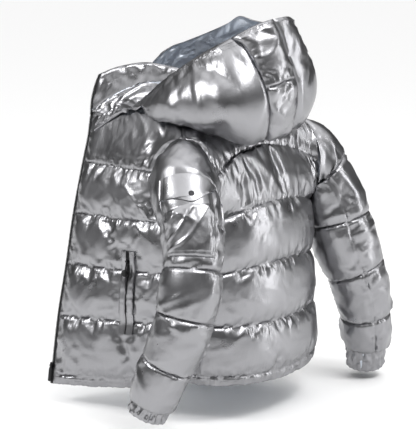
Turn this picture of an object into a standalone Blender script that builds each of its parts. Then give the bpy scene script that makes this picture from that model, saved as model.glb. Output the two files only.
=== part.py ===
"""Hooded quilted puffer jacket, filled out as worn, with its front open.

Metres, +Z up. The wearer faces -Y and the wearer's left is +X. The origin is on the torso's
upright axis at shoulder height. Both sides are worked out as left sides and the right is mirrored.
Rows of a panel run down from the neckline. Their level is 0 at the neckline, 1 to 4 at the quilting
seams, 5 at the hem seam and 6 at the hem's edge.
"""

import math

import bpy
import bmesh
import numpy as np
from mathutils import Matrix

# Cloth walls
SEAM = 0.003  # wall at a seam
GAP = 0.0005  # between two pieces at a seam
REST = 0.0015  # between pieces that lie on each other
HOOD_REST, SLEEVE_REST = 0.0050, 0.0030  # where a hood or sleeve lies against the body
PUFF_BODY = 0.013  # what a channel's crown adds
PUFF_YOKE = 0.007
PUFF_HEM = 0.003
PUFF_SLEEVE = 0.010
PUFF_HOOD = 0.007
PUFF_COLLAR = 0.004
PUFF_POWER = 0.6  # below 1 makes a full crown
EDGE_REACH = 0.030  # over which a panel fills out from its edge
HEAD_REACH = 0.060  # the same on a sleeve, from the armhole
ARMPIT_REACH = 0.110  # added at the underarm
ARMPIT_THINNING, ARMPIT_THIN_REACH = 0.0020, 0.060  # of both walls, nearest the underarm
SLEEVE_LIFT_REACH, HOOD_LIFT_REACH = 0.008, 0.020  # how near a panel, sideways, either is lifted
LIFT_PASSES, LIFT_SOFTENING = 3, 2
YOKE_SLIDE = 1.8  # moves the first channel's crown down, clear of the hood

# Levels of the rows, and where the shoulder point and the underarm lie
SHOULDER_LEVEL, UNDERARM_LEVEL = 0.4, 2.0
LEVELS = (0.0, 0.4, 1.0, 2.0, 3.0, 4.0, 5.0, 6.0)
YOKE_ROWS = (0.0, 0.2, 0.4, 0.55, 0.7, 0.85, 1.0)
CHANNEL_STEPS, HEM_STEPS = 5, 2
CHEST_ANGLE = math.radians(84)  # round the armhole from its top, at level 1

# Each side as a left one: neck point, shoulder point, armhole, side seam
SIDES = {
    "left": {
        "neck": (0.092, -0.125, 0.080),
        "shoulder_middle": (0.132, -0.070, 0.014),
        "shoulder": (0.203, 0.000, -0.028),
        "armhole": {"middle": (0.206, 0.005, -0.126), "depth": 0.080, "inset": 0.010},
        "seam_y": 0.008,
        "narrowing": 0.0,
    },
    "right": {
        "neck": (0.092, -0.115, 0.080),
        "shoulder_middle": (0.132, -0.060, 0.014),
        "shoulder": (0.214, 0.020, -0.024),
        "armhole": {"middle": (0.214, 0.020, -0.124), "depth": 0.080, "inset": 0.010},
        "seam_y": 0.015,
        "narrowing": 0.010,
    },
}
#            level:  2       3       4       5       6
SIDE_SEAM_X = (0.206, 0.208, 0.212, 0.216, 0.216)
SIDE_SEAM_Z = (-0.228, -0.352, -0.472, -0.592, -0.615)

# Front rows, from the side to the zip: two points between, and the zip edge (x, y, z)
FRONT_ROWS = {
    "left": (
        ((0.098, -0.200, 0.074), (0.118, -0.273, 0.045), (0.148, -0.339, 0.000)),
        ((0.170, -0.115, -0.030), (0.159, -0.237, -0.040), (0.155, -0.341, -0.050)),
        ((0.193, -0.165, -0.120), (0.187, -0.253, -0.121), (0.176, -0.343, -0.122)),
        ((0.219, -0.115, -0.236), (0.218, -0.228, -0.241), (0.212, -0.344, -0.246)),
        ((0.230, -0.115, -0.359), (0.240, -0.228, -0.364), (0.240, -0.345, -0.370)),
        ((0.238, -0.115, -0.484), (0.258, -0.228, -0.490), (0.270, -0.347, -0.498)),
        ((0.244, -0.115, -0.622), (0.272, -0.228, -0.636), (0.295, -0.348, -0.646)),
        ((0.244, -0.115, -0.645), (0.273, -0.228, -0.659), (0.297, -0.348, -0.669)),
    ),
    "right": (
        ((0.084, -0.170, 0.062), (0.050, -0.215, 0.034), (0.004, -0.235, 0.012)),
        ((0.160, -0.095, -0.030), (0.090, -0.178, -0.032), (0.003, -0.214, -0.038)),
        ((0.160, -0.140, -0.120), (0.088, -0.186, -0.121), (0.002, -0.203, -0.122)),
        ((0.180, -0.122, -0.238), (0.100, -0.184, -0.242), (0.000, -0.203, -0.246)),
        ((0.182, -0.126, -0.362), (0.102, -0.190, -0.366), (0.000, -0.208, -0.370)),
        ((0.186, -0.128, -0.488), (0.104, -0.194, -0.493), (0.000, -0.213, -0.498)),
        ((0.189, -0.130, -0.620), (0.106, -0.198, -0.636), (0.000, -0.218, -0.646)),
        ((0.189, -0.130, -0.643), (0.106, -0.198, -0.659), (0.000, -0.218, -0.669)),
    ),
}
FRONT_COLUMNS = 10

# Centre of the back, by level
BACK_CENTRE_Y = (-0.035, 0.010, 0.058, 0.106, 0.126, 0.136, 0.144, 0.146)
BACK_CENTRE_Z = (0.072, 0.004, -0.066, -0.192, -0.334, -0.478, -0.602, -0.625)
BACK_COLUMNS = 16
BACK_RISE = 2.0  # higher makes its rows leave the sides more level
BACK_FULLNESS = {"left": 0.85, "right": 0.65}  # lower is squarer

# Sleeves as left ones: middle line and radius from the armhole to the cuff's end (x, y, z, radius)
SLEEVE_PATHS = {
    "left": (
        (0.206, 0.005, -0.126, 0.085),
        (0.234, 0.020, -0.138, 0.078),
        (0.271, 0.074, -0.190, 0.060),
        (0.296, 0.104, -0.262, 0.058),
        (0.320, 0.115, -0.346, 0.058),
        (0.345, 0.109, -0.443, 0.054),
        (0.364, 0.078, -0.531, 0.048),
        (0.384, 0.034, -0.650, 0.043),
    ),
    "right": (
        (0.214, 0.020, -0.124, 0.085),
        (0.242, 0.034, -0.138, 0.080),
        (0.270, 0.070, -0.192, 0.068),
        (0.305, 0.112, -0.346, 0.068),
        (0.345, 0.142, -0.480, 0.056),
        (0.370, 0.139, -0.585, 0.050),
        (0.390, 0.124, -0.686, 0.045),
    ),
}
# Quilting seams along the middle line; the last is the cuff seam
SLEEVE_SEAMS = {
    "left": (0.245, 0.355, 0.475, 0.582),
    "right": (0.080, 0.205, 0.345, 0.475, 0.565),
}
SLEEVE_CHANNEL_STEPS = {"left": (10, 5, 5, 5), "right": (4, 5, 6, 5, 4)}
CAP_FIRST = 0.008  # ring close to the armhole
CAP_LENGTH = 0.10  # over which the armhole's outline turns into a round one
CAP_START = (0.90, 0.25, -0.35)  # way that the sleeve leaves the armhole
CUFF_GATHERS, CUFF_STEPS = 18, 3
CUFF_GATHER_DEPTH = 0.0022
CUFF_WALL = 0.003

COLLAR_STEPS = 4
COLLAR_STATIONS = (0.0, 0.12, 0.25, 0.5, 0.75, 1.0)  # left zip round the back to right zip
COLLAR_HEIGHTS = (0.096, 0.064, 0.042, 0.042, 0.046, 0.085)
COLLAR_LEAN, COLLAR_END_LEAN = 0.004, (-0.013, 0.017, 0.0)  # of the top: inwards, and its left end's
COLLAR_PLAIN = 0.4  # lowest share of its height, where the hood's foot lies against it

# Hood sections from its left front corner round the back to its right one: place along the
# neckline, lowest point, widest point and opening edge, each (x, y, z)
HOOD_SECTIONS = (
    (0.00, (0.148, -0.314, -0.010), (0.156, -0.315, -0.028), (0.163, -0.316, -0.046)),
    (0.12, (0.140, -0.245, 0.030), (0.154, -0.243, 0.012), (0.160, -0.240, 0.006)),
    (0.19, (0.150, -0.185, 0.036), (0.168, -0.178, 0.026), (0.164, -0.172, 0.042)),
    (0.25, (0.172, -0.125, 0.018), (0.192, -0.100, 0.044), (0.158, -0.105, 0.095)),
    (0.33, (0.184, -0.025, 0.010), (0.200, 0.000, 0.050), (0.146, -0.010, 0.160)),
    (0.41, (0.165, 0.085, -0.005), (0.178, 0.115, 0.040), (0.128, 0.080, 0.212)),
    (0.455, (0.110, 0.135, -0.020), (0.120, 0.163, 0.036), (0.085, 0.122, 0.243)),
    (0.50, (0.045, 0.148, -0.014), (0.045, 0.176, 0.066), (0.040, 0.145, 0.256)),
    (0.545, (-0.036, 0.142, -0.006), (-0.038, 0.174, 0.068), (-0.020, 0.138, 0.254)),
    (0.59, (-0.114, 0.108, 0.000), (-0.115, 0.136, 0.062), (-0.080, 0.085, 0.236)),
    (0.66, (-0.165, -0.010, 0.020), (-0.180, 0.005, 0.075), (-0.122, -0.030, 0.220)),
    (0.70, (-0.165, -0.055, 0.025), (-0.182, -0.045, 0.080), (-0.130, -0.088, 0.232)),
    (0.75, (-0.160, -0.115, 0.035), (-0.174, -0.115, 0.080), (-0.132, -0.140, 0.208)),
    (0.88, (-0.115, -0.205, 0.060), (-0.120, -0.225, 0.095), (-0.095, -0.238, 0.162)),
    (0.94, (-0.070, -0.240, 0.050), (-0.075, -0.254, 0.088), (-0.056, -0.262, 0.147)),
    (1.00, (-0.016, -0.264, 0.036), (-0.018, -0.277, 0.066), (-0.012, -0.280, 0.113)),
)
HOOD_STEPS = 12
# Its two long seams: places along the opening edge and along the neckline
HOOD_SEAMS = ((0.0, 0.0), (0.41, 0.51), (0.49, 0.55), (1.0, 1.0))
HOOD_SEAM_BEND = 0.6
HOOD_PANELS = (("hood_left", 14, 1.0), ("hood_centre", 5, 0.72), ("hood_right", 14, 1.0))
HOOD_FLAT = 0.20  # station up to which the hood's front corner lies on the left front
HOOD_FOOT_HEIGHT, HOOD_FOOT_GAP = 0.007, 0.0012
HOOD_HOLLOW = (0.0, 0.02, 0.12)  # a point in its bag

TAPE_WALL, TAPE_WIDTH = 0.0016, 0.0060
FRONT_SLIDER = (0.0105, 0.0150, 0.0080)  # along the panel, up the zip, through the cloth
FRONT_SLIDER_LEVEL = 4.8
SLIDER_STAND_OFF, SLOT_PLAY = 0.0015, 0.0004
CHEEK_INSIDE, CHEEK_WALL, CHEEK_HEIGHT, CHEEK_HALF = 0.0021, 0.0012, 0.0040, 0.0022
HINGE_LIFT, PIN_RADIUS, EYE_RADIUS = 0.0024, 0.0005, 0.0008
FRONT_TAB = ((-0.0050, -0.0012, -0.0400), (0.0050, 0.0014, -0.0050))
FRONT_NECK = ((-0.0017, -0.0012, -0.0060), (0.0017, 0.0014, 0.0000))
FRONT_BARREL = 0.0019

POCKET_LEVELS, POCKET_COLUMN = (2.6, 4.2), 0.43
WELT_GAP, WELT_WIDTH, WELT_WALL, WELT_FILL = 0.0090, 0.0150, 0.0025, 0.5
POCKET_SLIDER = (0.0070, 0.0110, 0.0045)
CORD_RADIUS, CORD_HEAD, CORD_LENGTH = 0.0013, 0.0017, 0.0200
BALL_RADIUS, BALL_STEPS, BALL_LEAN = 0.0090, 6, 14.0

PATCH_ROWS = (4, 10)  # rings of the left sleeve
PATCH_COLUMNS = (1, 0, -1, -2, -3, -4)
PATCH_WALL, FLAP_WALL = 0.0030, 0.0025
FLAP_SIDE, FLAP_POINT, FLAP_MIDDLE = 0.85, 1.0, 2.9  # rings that its sides hang down, more at its point, and where
SNAP = (0.0070, 0.0026)
SNAP_PLACE = 0.3  # between the flap's last two rows

MATERIALS = {
    "foil": ((0.30, 0.30, 0.31), 0.30, 0.90),
    "black_tape": ((0.012, 0.012, 0.013), 0.60, 0.00),
    "black_metal": ((0.02, 0.02, 0.022), 0.35, 0.60),
    "black_rubber": ((0.015, 0.015, 0.016), 0.50, 0.00),
}


# ---------------------------------------------------------------- curves and grids


def unit(vectors):
    return vectors / np.linalg.norm(vectors, axis=-1, keepdims=True)


def through(knots, values, at):
    """Values at the places `at`, from a smooth curve that passes the values at the knots."""
    knots, values = np.asarray(knots, float), np.asarray(values, float)
    places = np.atleast_1d(np.asarray(at, float))
    slopes = np.gradient(values, knots, axis=0)
    i = np.clip(np.searchsorted(knots, places, side="right") - 1, 0, len(knots) - 2)
    span = knots[i + 1] - knots[i]
    f = (places - knots[i]) / span
    if values.ndim == 2:
        f, span = f[:, None], span[:, None]
    first, second = values[i], values[i + 1]
    blend = f * f * (3 - 2 * f)
    bend = f * (1 - f) * span * ((1 - f) * slopes[i] - f * slopes[i + 1])
    result = first + (second - first) * blend + bend
    return result if np.ndim(at) else result[0]


def lengths(points):
    """Distance along the points, from the first."""
    steps = np.linalg.norm(np.diff(points, axis=0), axis=1)
    return np.concatenate([[0.0], np.cumsum(steps)])


def crown(places):
    """Height of a filled channel, 0 at each whole number and near 1 between."""
    return np.abs(np.sin(np.pi * np.asarray(places))) ** PUFF_POWER


def eased(distance, reach, power=0.5):
    """0 at an edge, rising to 1 at `reach`, as a quarter round or more slowly with a higher power."""
    f = np.clip(np.asarray(distance) / reach, 0, 1)
    return (1 - (1 - f) ** 2) ** power


def grid_normals(points, closed):
    """Directions square to a grid of points (row, column, xyz)."""
    down = np.gradient(points, axis=0)
    if closed:
        across = np.roll(points, -1, axis=1) - np.roll(points, 1, axis=1)
    else:
        across = np.gradient(points, axis=1)
    return unit(np.cross(across, down))


# ---------------------------------------------------------------- pieces


class Piece:
    """A wall: a plain inside grid, the direction in which it is thick, and how thick it is."""

    def __init__(self, name, inside, outward, closed=False, material="foil"):
        self.name, self.inside, self.closed, self.material = name, inside, closed, material
        normal = grid_normals(inside, closed)
        if outward is None:
            outward = inside - inside.mean(axis=1, keepdims=True)
        towards = np.sum(normal * outward, axis=2, keepdims=True)
        self.normal = normal * np.sign(towards if np.ndim(outward) > 1 else towards.sum())
        self.thick = np.full(inside.shape[:2], SEAM)

    def mirrored(self):
        self.inside = self.inside * (-1, 1, 1)
        self.normal = self.normal * (-1, 1, 1)
        return self

    def outside(self):
        return self.inside + self.normal * self.thick[..., None]

    def part_edge(self, row=None, column=None, by=GAP / 2):
        """Draws one edge back by half a gap or more, square to its wall."""
        if row is not None:
            edge, inner = (row, slice(None)), (1 if row == 0 else -2, slice(None))
        else:
            edge, inner = (slice(None), column), (slice(None), 1 if column == 0 else -2)
        line = self.inside[edge]
        if self.closed and row is not None:
            along = np.roll(line, -1, axis=0) - np.roll(line, 1, axis=0)
        else:
            along = np.gradient(line, axis=0)
        back = unit(np.cross(along, self.normal[edge]))
        towards = np.sum(back * (self.inside[inner] - line), axis=1, keepdims=True)
        self.inside[edge] = line + back * np.sign(towards) * by


def finer(grid, times=3):
    """A grid of vectors with points added between its own, along rows and columns."""
    for axis in (0, 1):
        places = np.linspace(0, grid.shape[axis] - 1, (grid.shape[axis] - 1) * times + 1)
        low = np.minimum(places.astype(int), grid.shape[axis] - 2)
        share = (places - low).reshape((-1, 1, 1) if axis == 0 else (1, -1, 1))
        grid = np.take(grid, low, axis) * (1 - share) + np.take(grid, low + 1, axis) * share
    return grid


def softened(grid, closed):
    """A grid of vectors, each averaged with its neighbours; the first row is kept."""
    padded = np.pad(grid, ((1, 1), (1, 1), (0, 0)), mode="edge")
    if closed:
        padded[:, 0], padded[:, -1] = padded[:, -2], padded[:, 1]
    around = padded[:-2, 1:-1] + padded[2:, 1:-1] + padded[1:-1, :-2] + padded[1:-1, 2:]
    result = (grid * 2 + around) / 6
    result[0] = grid[0]
    return result


def clear_of(points, thick, panels, chosen, rest, reach, closed=False):
    """Moves a grid off the panels, smoothly, until the chosen points leave room for its wall."""
    moved = points
    for _ in range(LIFT_PASSES):
        lifts = lifted(moved, thick, panels, chosen, rest, reach) - points
        for _ in range(LIFT_SOFTENING):
            lifts = softened(lifts, closed)
        moved = points + lifts
    return lifted(moved, thick, panels, chosen, rest, reach)


def lifted(points, thick, panels, chosen, rest, reach):
    points = points.copy()
    for panel in panels:
        surface = finer(panel.outside()).reshape(-1, 3)
        away = unit(finer(panel.normal).reshape(-1, 3))
        for index in zip(*np.nonzero(chosen)):
            offset = points[index] - surface
            near = np.argmin(np.sum(offset * offset, axis=1))
            height = np.dot(offset[near], away[near])
            if np.linalg.norm(offset[near] - height * away[near]) > reach:
                continue
            short = thick[index] + rest - height
            if short > 0:
                points[index] += away[near] * short
    return points


def share_directions(pieces):
    """Walls that meet at a point get one direction there, so that their edges stay parallel."""
    total = {}
    keys = {}
    for piece in pieces:
        keys[piece.name] = [tuple(key) for key in np.round(piece.inside.reshape(-1, 3) * 1e5).astype(int)]
        for key, normal in zip(keys[piece.name], piece.normal.reshape(-1, 3)):
            total[key] = total.get(key, 0) + normal
    for piece in pieces:
        shared = np.array([total[key] for key in keys[piece.name]])
        piece.normal = unit(shared).reshape(piece.normal.shape)


def new_object(name, mesh, material):
    found = bpy.data.materials.get(material) or new_material(material)
    mesh.materials.append(found)
    obj = bpy.data.objects.new(name, mesh)
    bpy.data.collections["puffer jacket"].objects.link(obj)
    return obj


def new_material(name):
    colour, roughness, metallic = MATERIALS[name]
    material = bpy.data.materials.new(name)
    material.use_nodes = True
    shader = material.node_tree.nodes["Principled BSDF"]
    shader.inputs["Base Color"].default_value = (*colour, 1)
    shader.inputs["Roughness"].default_value = roughness
    shader.inputs["Metallic"].default_value = metallic
    return material


def build_wall(piece):
    """Closes a piece's inside and outside grids into one solid."""
    rows, columns = piece.inside.shape[:2]
    inside, outside = piece.inside.reshape(-1, 3), piece.outside().reshape(-1, 3)
    count = rows * columns
    faces = []
    last = columns if piece.closed else columns - 1
    for i in range(rows - 1):
        for j in range(last):
            k = (j + 1) % columns
            a, b, c, d = i * columns + j, i * columns + k, (i + 1) * columns + k, (i + 1) * columns + j
            faces.append((a, b, c, d))
            faces.append((d + count, c + count, b + count, a + count))
    for i in (0, rows - 1):
        for j in range(last):
            a, b = i * columns + j, i * columns + (j + 1) % columns
            faces.append((b, a, a + count, b + count) if i == 0 else (a, b, b + count, a + count))
    if not piece.closed:
        for j in (0, columns - 1):
            for i in range(rows - 1):
                a, b = i * columns + j, (i + 1) * columns + j
                faces.append((a, b, b + count, a + count) if j == 0 else (b, a, a + count, b + count))
    mesh = bpy.data.meshes.new(piece.name)
    mesh.from_pydata([tuple(p) for p in np.vstack([inside, outside])], [], faces)
    obj = new_object(piece.name, mesh, piece.material)
    face_out(mesh)
    mesh.shade_smooth()
    mesh.set_sharp_from_angle(angle=math.radians(50))
    return obj


def face_out(mesh):
    """Turns a closed mesh's faces outwards."""
    bm = bmesh.new()
    bm.from_mesh(mesh)
    if bm.calc_volume(signed=True) < 0:
        bmesh.ops.reverse_faces(bm, faces=bm.faces)
    bm.to_mesh(mesh)
    bm.free()


# ---------------------------------------------------------------- body


def body_rows():
    rows = list(YOKE_ROWS)
    for level in range(1, 5):
        rows += [level + step / CHANNEL_STEPS for step in range(1, CHANNEL_STEPS + 1)]
    rows += [5 + step / HEM_STEPS for step in range(1, HEM_STEPS + 1)]
    return np.array(rows)


def armhole_angle(level):
    """Angle from the armhole's top at a level, 0 to pi."""
    knots = (SHOULDER_LEVEL, 1.0, UNDERARM_LEVEL)
    return np.interp(level, knots, (0.0, CHEST_ANGLE, math.pi))


def side_edge(side, facing):
    """Points of a panel's side: shoulder seam, armhole and side seam. `facing` is -1 on a front."""
    sizes = SIDES[side]
    hole = sizes["armhole"]
    middle = np.array(hole["middle"])
    neck, shoulder = np.array(sizes["neck"]), np.array(sizes["shoulder"])
    height = shoulder[2] - middle[2]
    points = []
    for level in body_rows():
        if level <= SHOULDER_LEVEL:
            halves = (0.0, SHOULDER_LEVEL / 2, SHOULDER_LEVEL)
            points.append(through(halves, (neck, sizes["shoulder_middle"], shoulder), level))
        elif level < UNDERARM_LEVEL:
            angle = armhole_angle(level)
            y = middle[1] + facing * hole["depth"] * math.sin(angle)
            x = middle[0] - hole["inset"] * math.sin(angle)
            y += (shoulder[1] - middle[1]) * max(0.0, math.cos(angle))
            x += (shoulder[0] - middle[0]) * max(0.0, math.cos(angle))
            points.append(np.array((x, y, middle[2] + height * math.cos(angle))))
        else:
            z = through(range(2, 7), SIDE_SEAM_Z, level)
            fade = min(1.0, level - UNDERARM_LEVEL)
            x = through(range(2, 7), SIDE_SEAM_X, level)
            x += (middle[0] - SIDE_SEAM_X[0]) * (1 - fade) - sizes["narrowing"] * fade
            y = middle[1] + (sizes["seam_y"] - middle[1]) * fade
            points.append(np.array((x, y, z)))
    return np.array(points)


def front_piece(side):
    rows = body_rows()
    table = np.array(FRONT_ROWS[side])
    places = np.linspace(0, 1, FRONT_COLUMNS + 1)
    start = side_edge(side, -1)
    grid = []
    for index, level in enumerate(rows):
        knots = [start[index]] + [through(LEVELS, table[:, k], level) for k in range(3)]
        distance = lengths(np.array(knots))
        grid.append(through(distance / distance[-1], knots, places))
    piece = Piece("front_" + side, np.array(grid), (1, -0.6, 0))
    widths = np.linalg.norm(piece.inside[:, -1] - piece.inside[:, 0], axis=1)
    fill = eased(np.outer(widths, 1 - places), EDGE_REACH)
    piece.thick = body_thickness(rows, np.outer(widths, places), fill)
    return piece


def body_thickness(rows, from_side, fill=1.0):
    """Wall of a panel whose channels run across it: thin at its seams and its side, and thinnest
    at the underarm, where the sleeve lies close to it."""
    puff = np.where(rows < 1, PUFF_YOKE, np.where(rows > 5, PUFF_HEM, PUFF_BODY))
    yoke = np.where(rows < 1, np.clip(rows, 0, 1) ** YOKE_SLIDE, rows)
    near = np.exp(-(((rows - UNDERARM_LEVEL) / 0.5) ** 2))[:, None]
    across = eased(from_side, EDGE_REACH + ARMPIT_REACH * near, 1 + near / 2)
    seam = SEAM - ARMPIT_THINNING * near * (1 - eased(from_side, ARMPIT_THIN_REACH))
    return seam + (puff * crown(yoke))[:, None] * across * fill


def back_piece():
    rows = body_rows()
    left, right = side_edge("left", 1), side_edge("right", 1) * (-1, 1, 1)
    places = np.linspace(-1, 1, BACK_COLUMNS + 1)
    grid = []
    for index, level in enumerate(rows):
        centre = np.array((0.0, through(LEVELS, BACK_CENTRE_Y, level), through(LEVELS, BACK_CENTRE_Z, level)))
        row = []
        for place in places:
            end = left[index] if place > 0 else right[index]
            over = math.sin(abs(place) * math.pi / 2)
            fullness = BACK_FULLNESS["left" if place > 0 else "right"]
            rest = max(0.0, math.cos(place * math.pi / 2))
            y = end[1] + (centre[1] - end[1]) * rest**fullness
            row.append((end[0] * over, y, end[2] + (centre[2] - end[2]) * rest**BACK_RISE))
        grid.append(row)
    piece = Piece("back", np.array(grid), (0, 1, 0))
    widths = np.linalg.norm(piece.inside[:, -1] - piece.inside[:, 0], axis=1)
    piece.thick = body_thickness(rows, np.outer(widths, (1 - np.abs(places)) / 2))
    return piece


# ---------------------------------------------------------------- sleeves and cuffs


def armhole_ring(side):
    """The armhole's points from its top, down the front and up the back."""
    rows = body_rows()
    inside = (rows >= SHOULDER_LEVEL - 1e-9) & (rows <= UNDERARM_LEVEL + 1e-9)
    front, back = side_edge(side, -1)[inside], side_edge(side, 1)[inside]
    angles = [float(armhole_angle(level)) for level in rows[inside]]
    points = np.vstack([front, back[-2:0:-1]])
    return points, np.array(angles + [-a for a in angles[-2:0:-1]])


def arm_frame(side, distance):
    """Middle, radius, forward way, top way and front way of a sleeve at a distance along it."""
    table = np.array(SLEEVE_PATHS[side])
    knots = lengths(table[:, :3])
    place = through(knots, table, distance)
    ahead = through(knots, table[:, :3], min(distance + 0.01, knots[-1]))
    behind = through(knots, table[:, :3], max(distance - 0.01, 0.0))
    along = unit(ahead - behind)
    turn = min(1.0, distance / CAP_LENGTH)
    along = unit(np.array(CAP_START) * (1 - turn) + along * turn)
    front = np.array((0.0, -1.0, 0.0))
    front = unit(front - np.dot(front, along) * along)
    return place[:3], place[3], along, np.cross(front, along), front


def ring_at(side, distance, angles, radius=None):
    middle, own_radius, _, top, front = arm_frame(side, distance)
    size = own_radius if radius is None else radius
    return middle + (np.cos(angles)[:, None] * top + np.sin(angles)[:, None] * front) * size


def sleeve_rings(side):
    """Each ring's distance down the sleeve, and its place in channels."""
    stops = (0.0,) + SLEEVE_SEAMS[side]
    rings = [(0.0, 0.0), (CAP_FIRST, CAP_FIRST / stops[1])]
    for channel, steps in enumerate(SLEEVE_CHANNEL_STEPS[side]):
        for step in range(1, steps + 1):
            share = step / steps
            rings.append((stops[channel] * (1 - share) + stops[channel + 1] * share, channel + share))
    return np.array(rings).T


def sleeve_piece(side, body):
    hole, angles = armhole_ring(side)
    start = np.array(SLEEVE_PATHS[side][0][:3])
    distances, places = sleeve_rings(side)
    rings = []
    for distance in distances:
        f = min(1.0, distance / CAP_LENGTH)
        share = f * f * (3 - 2 * f)
        moved = hole + arm_frame(side, distance)[0] - start
        rings.append(moved * (1 - share) + ring_at(side, distance, angles) * share)
    under = (1 - np.cos(angles)) / 2
    fill = eased(distances[:, None], HEAD_REACH + ARMPIT_REACH * under[None], 1.5)
    seam = SEAM - ARMPIT_THINNING * under * (1 - eased(distances[:, None], ARMPIT_THIN_REACH))
    thick = seam + (PUFF_SLEEVE * crown(places))[:, None] * fill
    inside = np.array(rings)
    lower = np.zeros(inside.shape[:2], bool)
    lower[1:] = np.cos(angles) < 0.3
    inside = clear_of(inside, thick, body, lower, SLEEVE_REST, SLEEVE_LIFT_REACH, closed=True)
    piece = Piece("sleeve_" + side, inside, None, closed=True)
    spokes = unit(inside - inside.mean(axis=1, keepdims=True))
    near = np.clip(1 - distances / CAP_LENGTH, 0, 1)[:, None, None]
    piece.normal = unit(piece.normal + spokes * near)
    piece.normal[-1] = spokes[-1]
    piece.thick = thick
    return piece


def cuff_piece(side):
    start = SLEEVE_SEAMS[side][-1] + GAP * 1.5
    end = lengths(np.array(SLEEVE_PATHS[side])[:, :3])[-1]
    count = CUFF_GATHERS * 3
    angles = np.arange(count) * 2 * math.pi / count
    gathers = np.cos(angles * CUFF_GATHERS)
    rings = []
    for step in range(CUFF_STEPS + 1):
        share = step / CUFF_STEPS
        distance = start + (end - start) * share
        depth = CUFF_GATHER_DEPTH * math.sin(math.pi * (0.25 + share / 2))
        radius = arm_frame(side, distance)[1] + depth * gathers
        rings.append(ring_at(side, distance, angles, radius[:, None]))
    piece = Piece("cuff_" + side, np.array(rings), None, closed=True)
    piece.normal = unit(piece.inside - piece.inside.mean(axis=1, keepdims=True))
    piece.thick = np.full(piece.inside.shape[:2], CUFF_WALL)
    return piece


# ---------------------------------------------------------------- collar and hood


def neckline(fronts, back):
    """Outer top edge of the three panels, from the left zip round the back to the right zip."""
    left, right = fronts["left"].outside()[0], fronts["right"].outside()[0]
    behind = back.outside()[0]
    points = np.vstack([left[::-1], behind[::-1][1:-1], right])
    quarters = (np.linspace(0, 0.25, len(left)), np.linspace(0.25, 0.75, len(behind))[1:-1])
    return np.concatenate([*quarters, np.linspace(0.75, 1.0, len(right))]), points


def outward_from_neck(points):
    """Level directions away from the neck, square to the neckline."""
    along = np.gradient(points, axis=0)
    out = unit(np.cross(along, (0, 0, 1)))
    return out if np.dot(out[0], (1, 0, 0)) > 0 else -out


def collar_piece(stations, line):
    foot = line + np.array((0, 0, GAP * 2))
    out = outward_from_neck(line)
    heights = through(COLLAR_STATIONS, COLLAR_HEIGHTS, stations)
    rows = []
    for step in range(COLLAR_STEPS + 1):
        share = step / COLLAR_STEPS
        end_lean = np.outer(np.clip(1 - stations / 0.2, 0, 1) ** 2, COLLAR_END_LEAN) * share**2
        rows.append(foot + np.outer(heights * share, (0, 0, 1)) + end_lean - out * COLLAR_LEAN * share)
    piece = Piece("collar", np.array(rows), (0, 1, 0))
    piece.normal = np.repeat(out[None], COLLAR_STEPS + 1, axis=0)
    shares = np.linspace(0, 1, COLLAR_STEPS + 1)
    ends = eased(stations, 0.1) * eased(1 - stations, 0.1)
    filled = np.sin(np.pi * np.clip((shares - COLLAR_PLAIN) / (1 - COLLAR_PLAIN), 0, 1))
    piece.thick = SEAM + PUFF_COLLAR * np.outer(filled, ends)
    return piece


def hood_pieces(stations, line, panels):
    out = outward_from_neck(line)
    flat = np.clip(1 - stations / HOOD_FLAT, 0, 1)[:, None]
    foot = line + out * (SEAM + HOOD_FOOT_GAP + SEAM * flat) + np.array((0, 0, HOOD_FOOT_HEIGHT))
    foot_normal = unit(-out * flat - np.array((0, 0, 1)) * (1 - flat))
    shares = np.linspace(0, 1, HOOD_STEPS + 1)
    table = [np.array([row[k] for row in HOOD_SECTIONS]) for k in (1, 2, 3)]
    section_places = [row[0] for row in HOOD_SECTIONS]
    pieces = []
    bend = (1 - shares)[:, None] ** HOOD_SEAM_BEND
    for (name, count, cross_seam), first, last in zip(HOOD_PANELS, HOOD_SEAMS, HOOD_SEAMS[1:]):
        steps = np.arange(count + 1)
        along_edge, along_neck = (np.linspace(a, b, count + 1) for a, b in zip(first, last))
        places = along_edge + (along_neck - along_edge) * bend
        grid = []
        for share, row in zip(shares, places):
            starts = read_line(row, stations, foot)
            low, wide, edge = (through(section_places, column, row) for column in table)
            points = []
            for knots in zip(starts, low, wide, edge):
                distance = lengths(np.array(knots))
                points.append(through(distance / distance[-1], knots, share))
            grid.append(points)
        inside = np.array(grid)
        channels = crown(np.interp(shares, (0, cross_seam, 1), (0, 1, 2 if cross_seam < 1 else 1)))
        puff = eased(steps, 1.5) * eased(count - steps, 1.5) * np.clip((places - HOOD_FLAT) / 0.1, 0, 1)
        thick = SEAM + PUFF_HOOD * channels[:, None] * puff
        chosen = np.zeros(inside.shape[:2], bool)
        chosen[1:] = True
        inside = clear_of(inside, thick, panels, chosen, HOOD_REST, HOOD_LIFT_REACH)
        piece = Piece(name, inside, inside - np.array(HOOD_HOLLOW))
        piece.thick = thick
        piece.normal[0] = unit(read_line(places[0], stations, foot_normal))
        pieces.append(piece)
    return pieces


def read_line(places, stations, values):
    return np.stack([np.interp(places, stations, values[:, k]) for k in range(3)], axis=1)


# ---------------------------------------------------------------- zips, pockets and small pieces


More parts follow.
